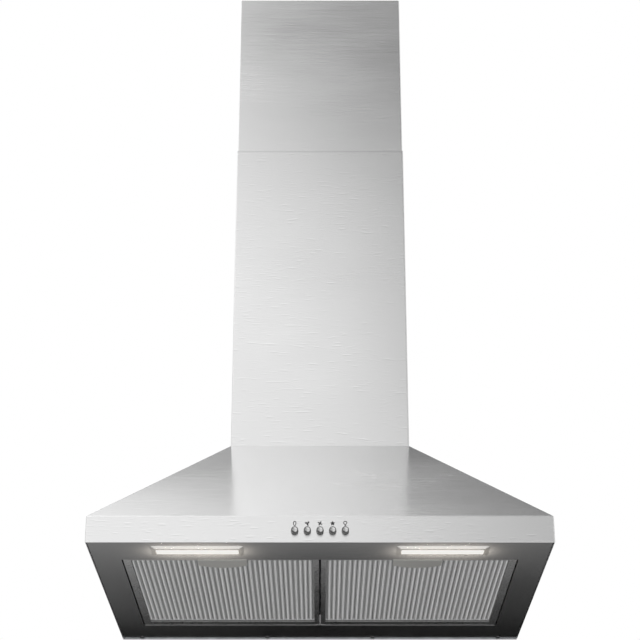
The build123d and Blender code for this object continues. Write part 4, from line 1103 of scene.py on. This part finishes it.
def makeWorld():
    world = bpy.data.worlds.new("studioWorld")
    bpy.context.scene.world = world
    world.use_nodes = True
    tree = world.node_tree
    tree.nodes.clear()
    path = addNode(tree, "ShaderNodeLightPath")
    seen = mathNode(tree, "MAXIMUM", path.outputs["Is Camera Ray"], path.outputs["Is Glossy Ray"])
    seen = mathNode(tree, "MAXIMUM", seen, path.outputs["Is Transmission Ray"])
    white, ambient = (
        addNode(tree, "ShaderNodeBackground", None, {"Color": grey(1.0), "Strength": strength})
        for strength in (1.0, studio["ambient"])
    )
    addNode(tree, "ShaderNodeOutputWorld", None, {"Surface": mixShader(tree, seen, ambient, white)})


def heightRamp(tree, share, card, column):
    # the card's brightness by height in one of its columns
    levels, (lowZ, highZ) = card["levels"], card["z"]
    ramp = addNode(tree, "ShaderNodeValToRGB", None, {"Fac": share})
    ramp.color_ramp.interpolation = "EASE"
    stops = ramp.color_ramp.elements
    peak = max(max(row) for height, row in levels)
    for number, (height, row) in enumerate(levels):
        place = (height - lowZ) / (highZ - lowZ)
        stop = stops[number] if number < 2 else stops.new(place)
        stop.position = place
        stop.color = grey(row[column] / peak)
    split = addNode(tree, "ShaderNodeSeparateColor", None, {0: ramp.outputs["Color"]})
    return mathNode(tree, "MULTIPLY", split.outputs[0], peak)


def makeCard(name, card):
    (lowX, highX), (lowZ, highZ), y = card["x"], card["z"], card["y"]
    material = bpy.data.materials.new(name)
    material.use_nodes = True
    tree = material.node_tree
    tree.nodes.clear()
    place = addNode(tree, "ShaderNodeTexCoord").outputs["Object"]
    split = addNode(tree, "ShaderNodeSeparateXYZ", None, {0: place}).outputs
    share = rangeNode(tree, split["Z"], lowZ, highZ, 0.0, 1.0)
    left, middle, right = [heightRamp(tree, share, card, column) for column in range(3)]
    toLeft = rangeNode(tree, split["X"], -card["spread"], 0.0, 1.0, 0.0)
    toRight = rangeNode(tree, split["X"], 0.0, card["spread"], 0.0, 1.0)
    level = mathNode(tree, "MULTIPLY_ADD", toLeft, mathNode(tree, "SUBTRACT", left, middle), middle)
    level = mathNode(tree, "MULTIPLY_ADD", toRight, mathNode(tree, "SUBTRACT", right, middle), level)
    glow = addNode(tree, "ShaderNodeEmission", None, {"Strength": mathNode(tree, "MAXIMUM", level, 0.0)})
    clear = addNode(tree, "ShaderNodeBsdfTransparent")
    unseen = addNode(tree, "ShaderNodeNewGeometry").outputs["Backfacing"]
    if "nearLimit" in card:
        # what stands this close to the card sees past it, such as the hood's own back
        reach = addNode(tree, "ShaderNodeLightPath").outputs["Ray Length"]
        unseen = mathNode(tree, "MAXIMUM", unseen, mathNode(tree, "LESS_THAN", reach, card["nearLimit"]))
    addNode(tree, "ShaderNodeOutputMaterial", None, {"Surface": mixShader(tree, unseen, glow, clear)})
    corners = [(lowX, y, lowZ), (highX, y, lowZ), (highX, y, highZ), (lowX, y, highZ)]
    order = (0, 1, 2, 3) if card["facing"] < 0 else (3, 2, 1, 0)
    item = stageMesh(name, corners, order, material)
    item.visible_camera = False
    item.visible_diffuse = False
    item.visible_shadow = False
    item.visible_transmission = False


def makeFloor():
    floor = studio["floor"]
    half, z = floor["half"], floor["z"]
    material, tree, shader, place = surfaceMaterial("paleFloor", {"Roughness": floor["roughness"]})
    cloud = stretchedNoise(tree, place, (floor["cloud"],) * 3)
    colour = mixColour(tree, cloud, *(grey(level) for level in floor["greys"]))
    tree.links.new(colour, shader.inputs["Base Color"])
    # clear from below, so that a low view reaches the hood
    clear = addNode(tree, "ShaderNodeBsdfTransparent")
    below = addNode(tree, "ShaderNodeNewGeometry").outputs["Backfacing"]
    oneSided = mixShader(tree, below, shader, clear)
    tree.links.new(oneSided, tree.nodes["Material Output"].inputs["Surface"])
    corners = [(-half, -half, z), (half, -half, z), (half, half, z), (-half, half, z)]
    stageMesh("studioFloor", corners, (0, 1, 2, 3), material)


def makeLamp(name, place, aim, look):
    data = bpy.data.lights.new(name, "AREA")
    data.shape = "RECTANGLE"
    data.size, data.size_y = look["size"]
    data.energy = look["power"]
    data.color = look["colour"]
    lamp = bpy.data.objects.new(name, data)
    lamp.location = place
    lamp.rotation_euler = (Vector(aim) - Vector(place)).to_track_quat("-Z", "Y").to_euler()
    lamp.visible_camera = False
    lamp.visible_glossy = False
    bpy.context.scene.collection.objects.link(lamp)
    return lamp


def makeLampGlow():
    # the light that each lit lens throws back on the panel round it
    glow = studio["lampGlow"]
    lit = bpy.data.collections.new("litByLamps")
    for label in ("underside_panel", "filter_frame", "lamp_bezel"):
        for item in bpy.data.objects:
            if item.name.startswith(label):
                lit.objects.link(item)
    for side in ("left", "right"):
        low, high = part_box("lamp_lens_" + side)
        middle = (low + high) / 2
        place = (middle.x, middle.y, low.z - glow["drop"])
        lamp = makeLamp("lampGlow_" + side, place, middle, glow)
        lamp.light_linking.receiver_collection = lit


makeWorld()
makeFloor()
for cardName, cardShape in studio["cards"].items():
    makeCard(cardName + "Card", cardShape)
keyLamp = studio["keyLamp"]
makeLamp("keyLamp", keyLamp["place"], keyLamp["aim"], keyLamp)
makeLampGlow()
print("studio lit")
